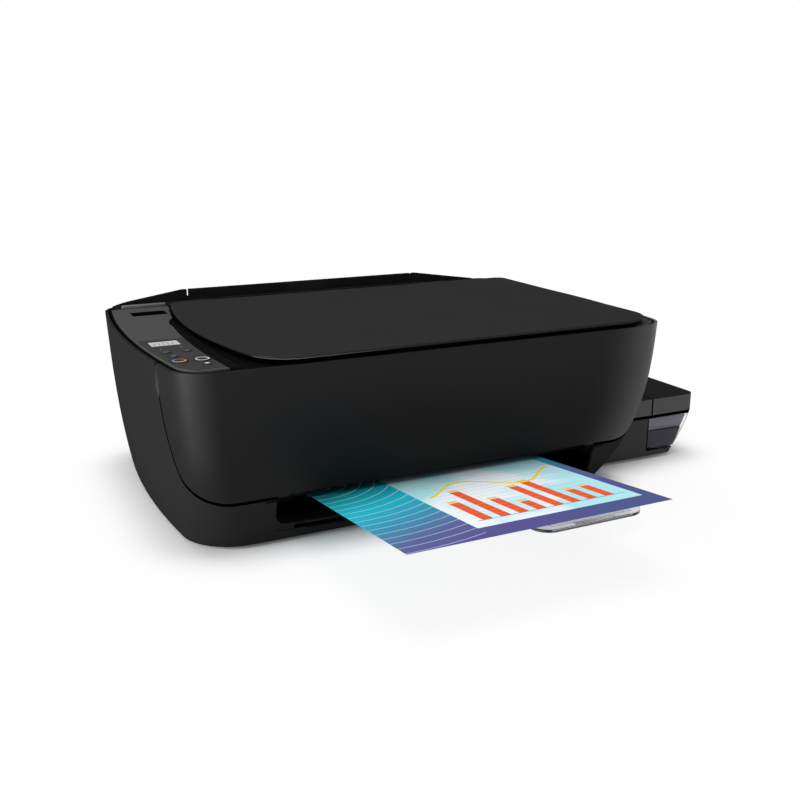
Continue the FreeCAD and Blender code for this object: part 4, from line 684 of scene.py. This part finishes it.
# Board and supply. A green epoxy board on posts, with a plated data socket and its chips soldered on, and
# the mains supply, a black moulded box with its inlet at the back.
board_green = moulded("board_green", (0.010, 0.075, 0.030), (0.016, 0.115, 0.045), 0.4, 0.06, grain=500.0)
SOCKET_FRONT = 200.0
BOARD_THICK = 1.6
CHIPS = ((14, 12, 16, 16, 1.4), (40, 14, 9, 12, 1.1), (56, 12, 7, 5, 2.2), (56, 22, 5, 5, 5.0),
         (64, 24, 5, 5, 5.0))
board = cast("main_board", board_green, 0.0002)
coat(board, plated_sheet, lambda face: face.center.y > SOCKET_FRONT * MM)
low, high = (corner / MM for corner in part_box("main_board"))
chips = [block(f"chip_{index}", (low.x + across, low.y + along, low.z + BOARD_THICK - 0.1),
               (low.x + across + wide, low.y + along + deep, low.z + BOARD_THICK + tall), 0.2)
         for index, (across, along, wide, deep, tall) in enumerate(CHIPS)]
fit(join(*chips), engine_black, "case", "engine_plastic")
cast("power_supply", engine_black, 0.0006)

# Front door. A wrap-round panel of the case's plastic with a finer grain and stiffening ribs inside; it
# drops forward on two pins at the upper corners of the output slot.
DOOR_FRONT = -73.65
LEFT_LEAN, LEFT_TAPER = 0.0066, 0.0079
RIGHT_LEAN, RIGHT_TAPER = 0.0118, 0.0330
# Bands of the painted highlights round the door's front corners, and where the left one fades downwards.
LEFT_HIGHLIGHT_BEGINS, LEFT_HIGHLIGHT_ENDS, LEFT_HIGHLIGHT_FADES = (-0.2540, -0.2440), (-0.2420, -0.2260), (0.35, 0.65)
RIGHT_HIGHLIGHT_BEGINS = (0.094, 0.186)


def door_plastic(name):
    """The case's plastic with a finer grain; a stronger coat round the two front corners and at the top
    paints highlights there.
    """
    finish = Finish(name)
    x, _, z = finish.axes()
    down = (CASE_TOP * MM - z) / (CASE_TOP * MM)
    cube = down * down * down
    on_left = x - down * LEFT_LEAN - cube * LEFT_TAPER
    on_right = x + down * RIGHT_LEAN + cube * RIGHT_TAPER
    left_highlight_band = on_left.held(*LEFT_HIGHLIGHT_BEGINS) * (1 - on_left.held(*LEFT_HIGHLIGHT_ENDS))
    painted_highlight_left = left_highlight_band * (1 - down.held(*LEFT_HIGHLIGHT_FADES))
    painted_highlight_right = on_right.held(*RIGHT_HIGHLIGHT_BEGINS)
    cloud = finish.noise(14.0, 3)
    fine = finish.noise(2300.0, 2)
    # Painted highlights: the coat is raised towards the top and in bands round the two front corners.
    gloss = 0.027 - down.held(0.0, 0.5) * 0.012 + painted_highlight_left * 0.040 + painted_highlight_right * painted_highlight_right * 0.25
    return finish.surface(
        Base_Color=finish.mix(cloud * 0.6 + fine * 0.4, (0.0100, 0.0100, 0.0102), (0.0140, 0.0140, 0.0143)),
        Roughness=0.42 + (fine - 0.5) * 0.16 + (cloud - 0.5) * 0.10,
        Specular_IOR_Level=0.0,
        Coat_Weight=gloss * (fine * 0.4 + 0.8), Coat_IOR=SHEEN_IOR, Coat_Roughness=0.42,
        Normal=finish.bump(fine, 0.00003))


door_black = door_plastic("door_black")
# Near-black for the window seal, and as painted shade on the door's lower edge along the seam.
seal_and_seam_shade_black = moulded("seal_and_seam_shade_black", (0.0015, 0.0015, 0.0016), (0.0028, 0.0028, 0.0029), 0.5, 0.002)
HINGE_TOP = 41.6
RIB_COUNT, RIB_PITCH, RIB_THICK = 8, 30, 2.4
RIB_LEFT, RIB_LOW, RIB_HIGH = -150, 50, 138
door = cast("front_door", door_black, 0.0008, 3)
# The door's faces below the hinge line, along the seam over the slot, are near-black: painted shade.
coat(door, seal_and_seam_shade_black, lambda face: face.center.z < HINGE_TOP * MM and face.normal.z > -0.95)
door_rib = block("door_ribs", (RIB_LEFT, DOOR_FRONT + 1.6, RIB_LOW),
                 (RIB_LEFT + RIB_THICK, DOOR_FRONT + 9.0, RIB_HIGH), 0.0)
only(door_rib)
bpy.ops.object.mode_set(mode="EDIT")
bpy.ops.mesh.select_all(action="SELECT")
bpy.ops.mesh.subdivide(number_cuts=7)
bpy.ops.object.mode_set(mode="OBJECT")
for point in door_rib.data.vertices:
    point.co.y += MM * drawn_back(point.co.z / MM)
fit(row(door_rib, RIB_COUNT, (RIB_PITCH, 0, 0)), door_black, "front_door", "door_plastic")

# Ink tank. A black box with a clear window round its front corner, four filled reservoirs with caps, and a
# cover with a matt top and satin sides; a groove runs round the box at the foot of the cover.
TANK_SPLIT = 43.0
GROOVE_LOW, GROOVE_HIGH = TANK_SPLIT - 2.2, TANK_SPLIT + 0.8
GROOVE_FLOOR = -22.8
GAP_RIGHT = 210.3
tank_black = moulded("tank_black", (0.034, 0.034, 0.035), (0.046, 0.046, 0.047), 0.45, 0.025)
# The cover's upward faces are coloured far darker than its sides as painted shade; groove and gap get
# near-black painted shade.
tank_top_painted_shade = moulded("tank_top_painted_shade", (0.0080, 0.0080, 0.0084), (0.0110, 0.0110, 0.0114), 0.50, 0.016)
tank_satin = moulded("tank_satin", (0.060, 0.060, 0.061), (0.075, 0.075, 0.076), 0.38, 0.060)
tank_gap_painted_shade = moulded("tank_gap_painted_shade", (0.0008, 0.0008, 0.0009), (0.0014, 0.0014, 0.0015), 0.8, 0.0)
housing = cast("tank_housing", tank_black, 0.0005, cuts=(
    block("tank_groove", (150, -30, GROOVE_LOW), (208.5, GROOVE_FLOOR, GROOVE_HIGH), 0.0),
    block("tank_rebate", (208.3, -30, GROOVE_LOW), (275, GROOVE_FLOOR, TANK_SPLIT + 0.2), 0.0)))
cover = cast("tank_lid", tank_black, 0.0006, cuts=(
    block("cover_gap", (205, -30, TANK_SPLIT - 5), (GAP_RIGHT, 210, 70), 0.0),))


def above_split(face):
    """True on the cover and on the fixed part of the box level with it."""
    return face.center.z > TANK_SPLIT * MM


def on_tank_top(face):
    """True on the upward faces above the split."""
    return above_split(face) and face.normal.z > 0.7


def in_tank_gap(face):
    """True in the groove at the foot of the cover and in the gap beside the cover."""
    spot = face.center / MM
    in_groove = (GROOVE_FLOOR - 1.5 < spot.y < GROOVE_FLOOR + 0.8
                 and GROOVE_LOW - 0.5 < spot.z < GROOVE_HIGH + 0.5)
    return in_groove or (face.normal.x < -0.7 and GAP_RIGHT - 0.8 < spot.x < GAP_RIGHT + 0.5)


# Painted shade: a dark colour on the top faces and near-black in the groove and the gap beside the cover.
for box_piece in (housing, cover):
    coat(box_piece, tank_satin, above_split)
    coat(box_piece, tank_top_painted_shade, on_tank_top)
    coat(box_piece, tank_gap_painted_shade, in_tank_gap)
tube_clear = clear("tube_clear", (0.75, 0.75, 0.76), 0.15)
INKS = {"black": ((0.006, 0.006, 0.007), (0.012, 0.012, 0.014)),
        "cyan": ((0.004, 0.10, 0.19), (0.008, 0.15, 0.26)),
        "magenta": ((0.17, 0.006, 0.07), (0.24, 0.010, 0.10)),
        "yellow": ((0.42, 0.26, 0.008), (0.55, 0.36, 0.012))}
INK_LEVEL = 0.0265


def filled(name, dark, light):
    """A reservoir of hazy plastic, dark up to the ink level that shows through it."""
    finish = Finish(name)
    _, _, height = finish.axes()
    flow = finish.noise(40.0, 3)
    level = (height + (flow - 0.5) * 0.0008).held(INK_LEVEL - 0.0003, INK_LEVEL + 0.0003)
    ink = finish.mix(flow, dark, light)
    empty = finish.mix(flow, (0.19, 0.185, 0.205), (0.25, 0.245, 0.27))
    return finish.surface(Base_Color=finish.mix(level, ink, empty), Roughness=0.25 + (flow - 0.5) * 0.1,
                          Specular_IOR_Level=0.1)


def window(name):
    """The clear front of the tank, wetted dark by ink up to the same level."""
    finish = Finish(name)
    _, _, height = finish.axes()
    flow = finish.noise(35.0, 3)
    level = (height + (flow - 0.5) * 0.0008).held(INK_LEVEL - 0.0004, INK_LEVEL + 0.0004)
    wet = finish.mix(flow, (0.76, 0.74, 0.80), (0.82, 0.80, 0.86))
    dry = finish.mix(flow, (0.84, 0.82, 0.88), (0.90, 0.88, 0.94))
    return finish.surface(Base_Color=finish.mix(level, wet, dry), Roughness=0.09 + (flow - 0.5) * 0.05,
                          IOR=1.15, Transmission_Weight=1.0)


cast("tank_window", window("window_clear"), 0.0003)
SEAL_LEFT, SEAL_FRONT, SEAL_BACK = 205.2, -24.8, -23.9
seal = join(block("window_seal", (SEAL_LEFT, SEAL_FRONT, 8.6), (206.5, SEAL_BACK, 40.0), 0.25),
            block("seal_foot", (SEAL_LEFT, SEAL_FRONT, 8.0), (232.0, SEAL_BACK, 9.2), 0.25),
            block("seal_corner", (SEAL_LEFT, SEAL_FRONT, 8.0), (209.5, SEAL_BACK, 11.5), 0.25))
fit(seal, seal_and_seam_shade_black, "case", "tank_plastic")
ink_film = moulded("ink_film", (0.055, 0.053, 0.063), (0.070, 0.068, 0.080), 0.3, 0.01)
INK_LEFT, INK_RIGHT, INK_FLOOR = 207.0, 240.0, 9.6
WINDOW_LEAN = 0.45
wet = block("ink_behind_window", (INK_LEFT, -22.3, INK_FLOOR), (INK_RIGHT, -21.9, INK_LEVEL / MM), 0.0)
for point in wet.data.vertices:
    if point.co.x > (INK_LEFT + INK_RIGHT) / 2 * MM:
        point.co.x += WINDOW_LEAN * (point.co.z - INK_FLOOR * MM)
fit(wet, ink_film, "case", "tank_clear")
for colour, (dark, light) in INKS.items():
    cast(f"ink_reservoir_{colour}", filled(f"filled_{colour}", dark, light), 0.0008)
    cast(f"tank_cap_{colour}", moulded(f"cap_{colour}", dark, light, 0.4, 0.06), 0.0008)
dress(tube_clear, "ink_tubes")

# Scanner. A moulded black deck closes the case inside its rim, with the flat glass let into it; the scan
# bar slides on a steel rod below the glass.
LIT_RIM_LEFT = 0.1450


def deck_plastic(name):
    """Polished black plastic under the lid; the rim right of the lid is coloured lighter as a painted
    reflection.
    """
    finish = Finish(name)
    x, _, _ = finish.axes()
    fine = finish.noise(1900.0, 2)
    dark = finish.mix(fine, (0.0020, 0.0020, 0.0022), (0.0034, 0.0034, 0.0036))
    rim = finish.mix(fine, (0.036, 0.036, 0.037), (0.048, 0.048, 0.049))
    return finish.surface(
        Base_Color=finish.mix(x > LIT_RIM_LEFT, dark, rim), Roughness=0.40 + (fine - 0.5) * 0.12,
        Specular_IOR_Level=0.0, Coat_Weight=0.006, Coat_IOR=SHEEN_IOR, Coat_Roughness=0.40,
        Normal=finish.bump(fine, 0.00003))


deck_black = deck_plastic("deck_black")
cast("scanner_deck", deck_black, 0.0005)
glass = clear("glass", (0.86, 0.92, 0.90), 0.02, 1.52, 0.5)
dress(glass, "scanner_glass")
cast("scan_bar", engine_black, 0.0006)

# Lid. A satin black plate with a soft edge that shuts over the glass on two knuckles; its white foam
# backing presses the page flat.
LID_MIDDLE = 148.6
RIM_HALF, RIM_BACK = 0.7, -50.0
RIM_HIGHLIGHT_FADE = (-0.165, -0.06)
lid_black = moulded("lid_black", (0.0160, 0.0160, 0.0166), (0.0205, 0.0205, 0.0212), 0.28, 0.020,
                    grain=1500.0, depth=0.00003)
# The front of the lid's rim is coloured lighter, most at the left, as a painted highlight.
lid_rim = Finish("lid_rim_painted_highlight")
rim_x, _, _ = lid_rim.axes()
worn = lid_rim.noise(900.0, 2)
lid_rim_painted_highlight = lid_rim.surface(
    Base_Color=lid_rim.mix(rim_x.held(*RIM_HIGHLIGHT_FADE), (0.150, 0.150, 0.153), (0.020, 0.020, 0.021)),
    Roughness=0.26 + (worn - 0.5) * 0.10, Specular_IOR_Level=0.0, Normal=lid_rim.bump(worn, 0.00002))
# Below the rim, where the edge turns under, a near-black colour stands in as painted shade.
lid_undercut_painted_shade = moulded("lid_undercut_painted_shade", (0.0015, 0.0015, 0.0016), (0.0022, 0.0022, 0.0023), 0.6, 0.0)
lid = cast("scanner_lid", lid_black, 0.0013, 4)


def on_lid_rim(face):
    """True on the front part of the upright rim."""
    on_rim = abs(face.normal.z) < 0.45 and abs(face.center.z - LID_MIDDLE * MM) < RIM_HALF * MM
    return on_rim and face.center.y < RIM_BACK * MM


def under_lid_rim(face):
    """True below the rim, where the edge turns under, and not on the flat underside."""
    return face.center.z < (LID_MIDDLE - 0.6) * MM and face.normal.z > -0.95


coat(lid, lid_rim_painted_highlight, on_lid_rim)
coat(lid, lid_undercut_painted_shade, under_lid_rim)
pad_foam = moulded("pad_foam", (0.70, 0.70, 0.69), (0.78, 0.78, 0.77), 0.8, 0.02, grain=700.0, depth=0.0002)
dress(pad_foam, "lid_pad")

# Gloss channel. A polished black strip with raised ribs lies on the deck between the control panel and
# the lid and follows the panel's long shallow curve.
channel_gloss = moulded("channel_gloss", (0.0020, 0.0020, 0.0022), (0.0032, 0.0032, 0.0034), 0.20, 0.008,
                        grain=900.0, depth=0.000004)
# The raised ribs are real; their colour, lighter than the channel, is a painted highlight on their tops.
rib_painted_highlight = moulded("rib_painted_highlight", (0.0060, 0.0060, 0.0064), (0.0095, 0.0095, 0.0100), 0.25, 0.014,
                    grain=900.0, depth=0.000004)
CURVE = (Vector((-211.5, -83.65)), Vector((-218.0, 36.35)), Vector((-214.6, 97.35)))
CHANNEL_FRONT = -66.0
CHANNEL_RIBS, CHANNEL_RIB_WIDE = (2.2, 5.2, 8.0), 1.1
PANEL_MIDDLE, PANEL_RADIUS = circle_through(*CURVE)
SWEEP_STEPS = 40


def swept(name, near, far, low, high, back):
    """A bar of oblong section swept along the panel's curve, near and far from its edge, in millimetres."""
    start = math.asin((CHANNEL_FRONT - PANEL_MIDDLE.y) / PANEL_RADIUS)
    end = math.asin((back - PANEL_MIDDLE.y) / PANEL_RADIUS)
    bpy.ops.object.select_all(action="DESELECT")
    bpy.ops.mesh.primitive_plane_add(size=1.0)
    piece = bpy.context.object
    piece.name = name
    corners = ((near, low), (far, low), (near, high), (far, high))
    for point, (inset, z) in zip(piece.data.vertices, corners):
        radius = PANEL_RADIUS - inset
        x = PANEL_MIDDLE.x - radius * math.cos(start)
        y = PANEL_MIDDLE.y + radius * math.sin(start)
        point.co = Vector((x, y, z)) * MM
    bpy.ops.object.mode_set(mode="EDIT")
    bpy.ops.mesh.select_all(action="SELECT")
    bpy.ops.mesh.delete(type="ONLY_FACE")
    bpy.ops.mesh.select_all(action="SELECT")
    bpy.ops.mesh.spin(steps=SWEEP_STEPS, angle=end - start, center=PANEL_MIDDLE.to_3d() * MM,
                      axis=(0.0, 0.0, 1.0))
    bpy.ops.mesh.select_all(action="SELECT")
    bpy.ops.mesh.remove_doubles(threshold=WELD)
    bpy.ops.mesh.fill_holes(sides=4)
    bpy.ops.mesh.select_all(action="SELECT")
    bpy.ops.mesh.normals_make_consistent(inside=False)
    bpy.ops.object.mode_set(mode="OBJECT")
    return piece


channel = swept("gloss_channel", 0.7, 9.6, 144.45, 144.72, back=118)
ribs = [swept(f"channel_rib_{index}", inset, inset + CHANNEL_RIB_WIDE, 144.5, 145.25, back=116)
        for index, inset in enumerate(CHANNEL_RIBS)]
ribs = [round_over(rib, 0.0003) for rib in ribs]
fit(smooth(channel), channel_gloss, "case", "deck_plastic")
fit(smooth(join(*ribs)), rib_painted_highlight, "case", "deck_plastic")

# Control panel. A grey moulded plate under a darker printed film, with a small display, six sprung keys
# with printed rings, a lamp, and a light trim strip behind it.
PANEL_TOP = 146.0
FILM_FRONT, FILM_BACK = -64.0, 47.5
FILM_THICK, FILM_INSET = 0.25, 0.7
GRIP_LEFT, GRIP_RIGHT = -236.0, -205.0
GRIP_FRONT, GRIP_BACK = 156.2, 174.5
panel_grey = moulded("panel_grey", (0.050, 0.050, 0.051), (0.064, 0.064, 0.065), 0.46, 0.020)
film_grey = moulded("film_grey", (0.030, 0.030, 0.031), (0.042, 0.042, 0.043), 0.30, 0.025,
                    grain=2400.0, depth=0.000008)
print_white = moulded("print_white", (0.50, 0.50, 0.50), (0.58, 0.58, 0.58), 0.4, 0.02)
print_grey = moulded("print_grey", (0.16, 0.16, 0.16), (0.20, 0.20, 0.20), 0.4, 0.02)
trim_grey = moulded("trim_grey", (0.10, 0.10, 0.10), (0.125, 0.125, 0.125), 0.4, 0.03)
lamp_red = moulded("lamp_red", (0.34, 0.055, 0.030), (0.44, 0.085, 0.045), 0.3, 0.05)
plate = cast("control_panel", panel_grey, 0.0004, cuts=(
    block("grip_tool", (GRIP_LEFT, GRIP_FRONT, 140), (GRIP_RIGHT, GRIP_BACK, 150), 0.0),))


def in_grip(face):
    """True on the walls of the finger grip cut into the plate."""
    spot = face.center / MM
    return (GRIP_LEFT - 0.5 < spot.x < GRIP_RIGHT + 0.5 and GRIP_FRONT - 0.7 < spot.y < GRIP_BACK + 0.7
            and abs(face.normal.z) < 0.6)


# The grip's walls take the near-black deck finish: painted shade in the recess.
coat(plate, deck_black, in_grip)


def pick(piece, test):
    """Leaves the piece in edit mode with only the faces that pass the test selected."""
    only(piece)
    bpy.ops.object.mode_set(mode="EDIT")
    bpy.ops.mesh.select_mode(type="FACE")
    bpy.ops.mesh.select_all(action="DESELECT")
    bpy.ops.object.mode_set(mode="OBJECT")
    for face in piece.data.polygons:
        face.select = test(face)
    bpy.ops.object.mode_set(mode="EDIT")


def not_top(face):
    """True away from the flat top of the panel."""
    return face.normal.z < 0.9 or face.center.z < (PANEL_TOP - 0.2) * MM


film = lift("control_panel", "panel_film")
only(film)
bpy.ops.object.mode_set(mode="EDIT")
for place, inner in ((FILM_FRONT, True), (FILM_BACK, False)):
    bpy.ops.mesh.select_all(action="SELECT")
    bpy.ops.mesh.bisect(plane_co=(0.0, place * MM, 0.0), plane_no=(0.0, 1.0, 0.0),
                        clear_inner=inner, clear_outer=not inner)
bpy.ops.object.mode_set(mode="OBJECT")
pick(film, not_top)
bpy.ops.mesh.delete(type="FACE")
bpy.ops.mesh.select_all(action="SELECT")
bpy.ops.mesh.inset(thickness=FILM_INSET * MM, use_boundary=True)
bpy.ops.mesh.select_all(action="INVERT")
bpy.ops.mesh.delete(type="FACE")
bpy.ops.object.mode_set(mode="OBJECT")
modify(film, "SOLIDIFY", thickness=FILM_THICK * MM, offset=1.0)
fit(smooth(film), film_grey, "case", "panel_plastic")


def liquid_crystal(name):
    """A grey display with a few darker bars and blocks where its figures would stand."""
    finish = Finish(name)
    x, y, _ = finish.axes()
    cloud = finish.noise(60.0, 2)
    low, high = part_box("display")
    across = (x - low.x) / (high.x - low.x)
    along = (y - low.y) / (high.y - low.y)
    ground = finish.mix(cloud, (0.43, 0.435, 0.43), (0.50, 0.505, 0.50))
    rim = ((across - 0.5).size() > 0.46) + ((along - 0.5).size() > 0.44)
    bars = ((across * 7).part() < 0.55) * ((along - 0.42).size() < 0.17) * ((across - 0.5).size() < 0.36)
    line = ((along - 0.76).size() < 0.05) * ((across - 0.4).size() < 0.25)
    shown = finish.mix((bars * 0.45 + line * 0.4), ground, (0.045, 0.048, 0.045))
    return finish.surface(Base_Color=finish.mix(rim > 0.5, shown, (0.030, 0.030, 0.031)),
                          Roughness=0.2 + (cloud - 0.5) * 0.08, Specular_IOR_Level=0.0,
                          Coat_Weight=0.05, Coat_IOR=SHEEN_IOR, Coat_Roughness=0.15)


dress(liquid_crystal("lcd"), "display")
KEY_MARKS = {"colour_copy": (5.2, 3.9), "mono_copy": (5.2, 4.2), "stop": (1.7, 0.0),
             "power": (1.6, 1.2), "wireless": (1.6, 1.2), "count": (1.6, 1.2)}
PRINT_THICK = 0.12
for key in KEY_MARKS:
    cast(f"{key}_button", film_grey, 0.0002)


def ring(name, middle, outer, inner):
    """A flat ring of print, raised by its own thickness, in millimetres; a disc when it has no hole."""
    bpy.ops.object.select_all(action="DESELECT")
    bpy.ops.mesh.primitive_circle_add(vertices=48, radius=outer * MM, fill_type="NGON",
                                      location=Vector(middle) * MM)
    piece = bpy.context.object
    piece.name = name
    bpy.ops.object.transform_apply(location=True, rotation=True, scale=True)
    bpy.ops.object.mode_set(mode="EDIT")
    bpy.ops.mesh.select_all(action="SELECT")
    if inner:
        bpy.ops.mesh.inset(thickness=(outer - inner) * MM)
        bpy.ops.mesh.delete(type="FACE")
    bpy.ops.object.mode_set(mode="OBJECT")
    return modify(piece, "SOLIDIFY", thickness=PRINT_THICK * MM, offset=1.0)


def hues(name, middle):
    """Print that runs through four inks round a key."""
    finish = Finish(name)
    x, y, _ = finish.axes()
    turn = (y - middle.y * MM).angle(x - middle.x * MM) / (2 * math.pi) + 0.5
    fine = finish.noise(1800.0, 2)
    ink = finish.node("ShaderNodeValToRGB", {"stops": [
        (0.0, (0.02, 0.30, 0.45)), (0.3, (0.55, 0.45, 0.03)), (0.55, (0.50, 0.06, 0.05)),
        (0.8, (0.28, 0.04, 0.30)), (1.0, (0.02, 0.30, 0.45))]}, {"Fac": turn})
    return finish.surface(Base_Color=ink, Roughness=0.4 + (fine - 0.5) * 0.1, Specular_IOR_Level=0.0)


for key, (outer, inner) in KEY_MARKS.items():
    low, high = (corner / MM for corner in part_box(f"{key}_button"))
    middle = Vector(((low.x + high.x) / 2, (low.y + high.y) / 2, high.z))
    mark = ring(f"{key}_mark", middle, outer, inner)
    ink = print_white if key in ("mono_copy", "stop") else print_grey
    if key == "colour_copy":
        ink = hues("ring_hues", middle)
    fit(mark, ink, f"{key}_button", "button_plastic")
FILM_TOP = PANEL_TOP + FILM_THICK
fit(ring("power_lamp", (-244.3, 10.1, FILM_TOP), 0.9, 0.0), lamp_red, "case", "panel_plastic")
fit(ring("ink_lamp", (-227.7, 13.6, FILM_TOP), 1.0, 0.6), print_grey, "case", "panel_plastic")
trim = block("panel_trim", (-238.5, 196.8, 145.5), (-197.5, 200.4, 149.0), 1.2, 4)
fit(trim, trim_grey, "case", "panel_plastic")

# Rear feed. Fixed wings that slope up to the paper support, the support with its finger notch, a pull-up
# extension in it and two guides that slide to the paper's width.
rear_black = moulded("rear_black", (0.0050, 0.0050, 0.0053), (0.0075, 0.0075, 0.0079), 0.5, 0.012)
NOTCH_FLOOR = 149.5
cast("rear_cover", rear_black, 0.0005, cuts=(
    block("notch_left", (-171.3, 218, NOTCH_FLOOR), (-168.0, PAST_BACK, 158), 0.0),
    block("notch_right", (73.0, 218, NOTCH_FLOOR), (76.3, PAST_BACK, 158), 0.0)))
cast("paper_support", rear_black, 0.0006)
cast("support_extension", engine_black, 0.0004)
cast("left_paper_guide", engine_black, 0.0005)
cast("right_paper_guide", engine_black, 0.0005)

# Sheet. One coated A4 sheet, printed edge to edge: a blue-green to violet ground, a pale panel with a
# column chart and a curve, and a fan of fine arcs.
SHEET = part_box("printed_sheet")
SHEET_LEFT, SHEET_RIGHT = SHEET[0].x, SHEET[1].x
SHEET_SEAT = 0.0001
SHEET_FRONT, SHEET_BACK = SHEET[0].y + SHEET_SEAT, SHEET[1].y
SHEET_LEVEL = SHEET[0].z + SHEET_SEAT
SHEET_BEND = -0.01365
SHEET_RISE = math.tan(math.radians(7))
SHEET_EASE = 0.02
SHEET_LONG = 0.297
SHEET_THICK = 0.00018
CHART_LEFT, CHART_RIGHT, CHART_FOOT = 0.36, 0.92, 0.118
bpy.ops.object.select_all(action="DESELECT")
bpy.ops.mesh.primitive_grid_add(x_subdivisions=24, y_subdivisions=120, size=1.0)
sheet = bpy.context.object
sheet.name = "sheet_of_paper"
for point in sheet.data.vertices:
    x = SHEET_LEFT + (point.co.x + 0.5) * (SHEET_RIGHT - SHEET_LEFT)
    y = SHEET_FRONT + (point.co.y + 0.5) * (SHEET_BACK - SHEET_FRONT)
    ahead = SHEET_BEND - y
    rise = 0.5 * SHEET_RISE * (ahead + math.sqrt(ahead * ahead + SHEET_EASE * SHEET_EASE))
    point.co = (x, y, SHEET_LEVEL + rise)
modify(sheet, "SOLIDIFY", thickness=SHEET_THICK, offset=0.0)


def printed(name):
    """The sheet's print, worked out from how far a point is across and along the sheet."""
    finish = Finish(name)
    x, y, _ = finish.axes()
    u = (x - SHEET_LEFT) / (SHEET_RIGHT - SHEET_LEFT)
    v = (y - SHEET_FRONT) / SHEET_LONG
    fibre = finish.noise(2600.0, 3)
    slope = u * 0.45 + (0.5 - v) * 1.35
    # The ground runs blue-green to violet; its darkest first stops, near the slot, are partly painted shade
    # under the door.
    ground = finish.node("ShaderNodeValToRGB", {"stops": [
        (0.0, (0.004, 0.20, 0.24)), (0.07, (0.008, 0.33, 0.40)), (0.24, (0.018, 0.46, 0.58)),
        (0.45, (0.045, 0.27, 0.42)), (0.62, (0.105, 0.12, 0.30)), (0.8, (0.10, 0.085, 0.27)),
        (1.0, (0.075, 0.10, 0.25))]}, {"Fac": slope})

    def box(u0, u1, v0, v1):
        """1 inside an oblong of the sheet."""
        return (u > u0) * (u < u1) * (v > v0) * (v < v1)

    arcs = ((u - 0.02) * (u - 0.02) * 0.5 + (v - 0.66) * (v - 0.66)).root()
    fan = ((arcs * 26).part() < 0.10) * (u < 0.30)
    picture = finish.mix(fan * 0.35, ground, (0.75, 0.93, 0.95))
    cloud = finish.noise(16.0, 2).held(0.42, 0.62)
    pale = finish.mix(cloud, (0.80, 0.87, 0.90), (0.42, 0.76, 0.82))
    # Painted shade: the pale panel darkens towards the slot, under the door.
    pale = finish.mix(v.held(0.42, 0.64) * 0.75, pale, (0.06, 0.16, 0.24))
    picture = finish.mix(box(0.30, 0.955, 0.07, 0.62), picture, pale)
    picture = finish.mix(box(0.34, 0.93, 0.115, CHART_FOOT), picture, (0.10, 0.16, 0.30))
    lane = (u - CHART_LEFT) / 0.07
    in_column = lane.part() < 0.55
    top = ((lane.floor() * 1.7).sine() * 0.35 + 0.62) * 0.26 + CHART_FOOT
    bars = box(CHART_LEFT, CHART_RIGHT, CHART_FOOT, 0.48) * in_column * (v < top)
    picture = finish.mix(bars, picture, (0.80, 0.10, 0.025))
    on_top = (v > top + 0.004) * (v < top + 0.016)
    caps = box(CHART_LEFT, CHART_RIGHT, CHART_FOOT, 0.49) * in_column * on_top
    picture = finish.mix(caps, picture, (0.85, 0.55, 0.02))
    wave = ((u * 15).sine() * 0.05 + 0.40 - v).size() < 0.006
    picture = finish.mix(wave * box(0.34, 0.93, 0.1, 0.58), picture, (0.90, 0.66, 0.03))
    rules = ((v * 34).part() < 0.10) * box(0.34, 0.93, 0.13, 0.58)
    picture = finish.mix(rules * 0.35, picture, (0.25, 0.45, 0.58))
    picture = finish.mix(fibre * 0.06, picture, (0.0, 0.0, 0.0))
    return finish.surface(Base_Color=picture, Roughness=0.42 + (fibre - 0.5) * 0.15, Specular_IOR_Level=0.0,
                          Coat_Weight=0.02, Coat_IOR=SHEEN_IOR, Coat_Roughness=0.3,
                          Normal=finish.bump(fibre, 0.00001))


fit(sheet, printed("sheet_print"), "printed_sheet", "paper", "printed_sheet")
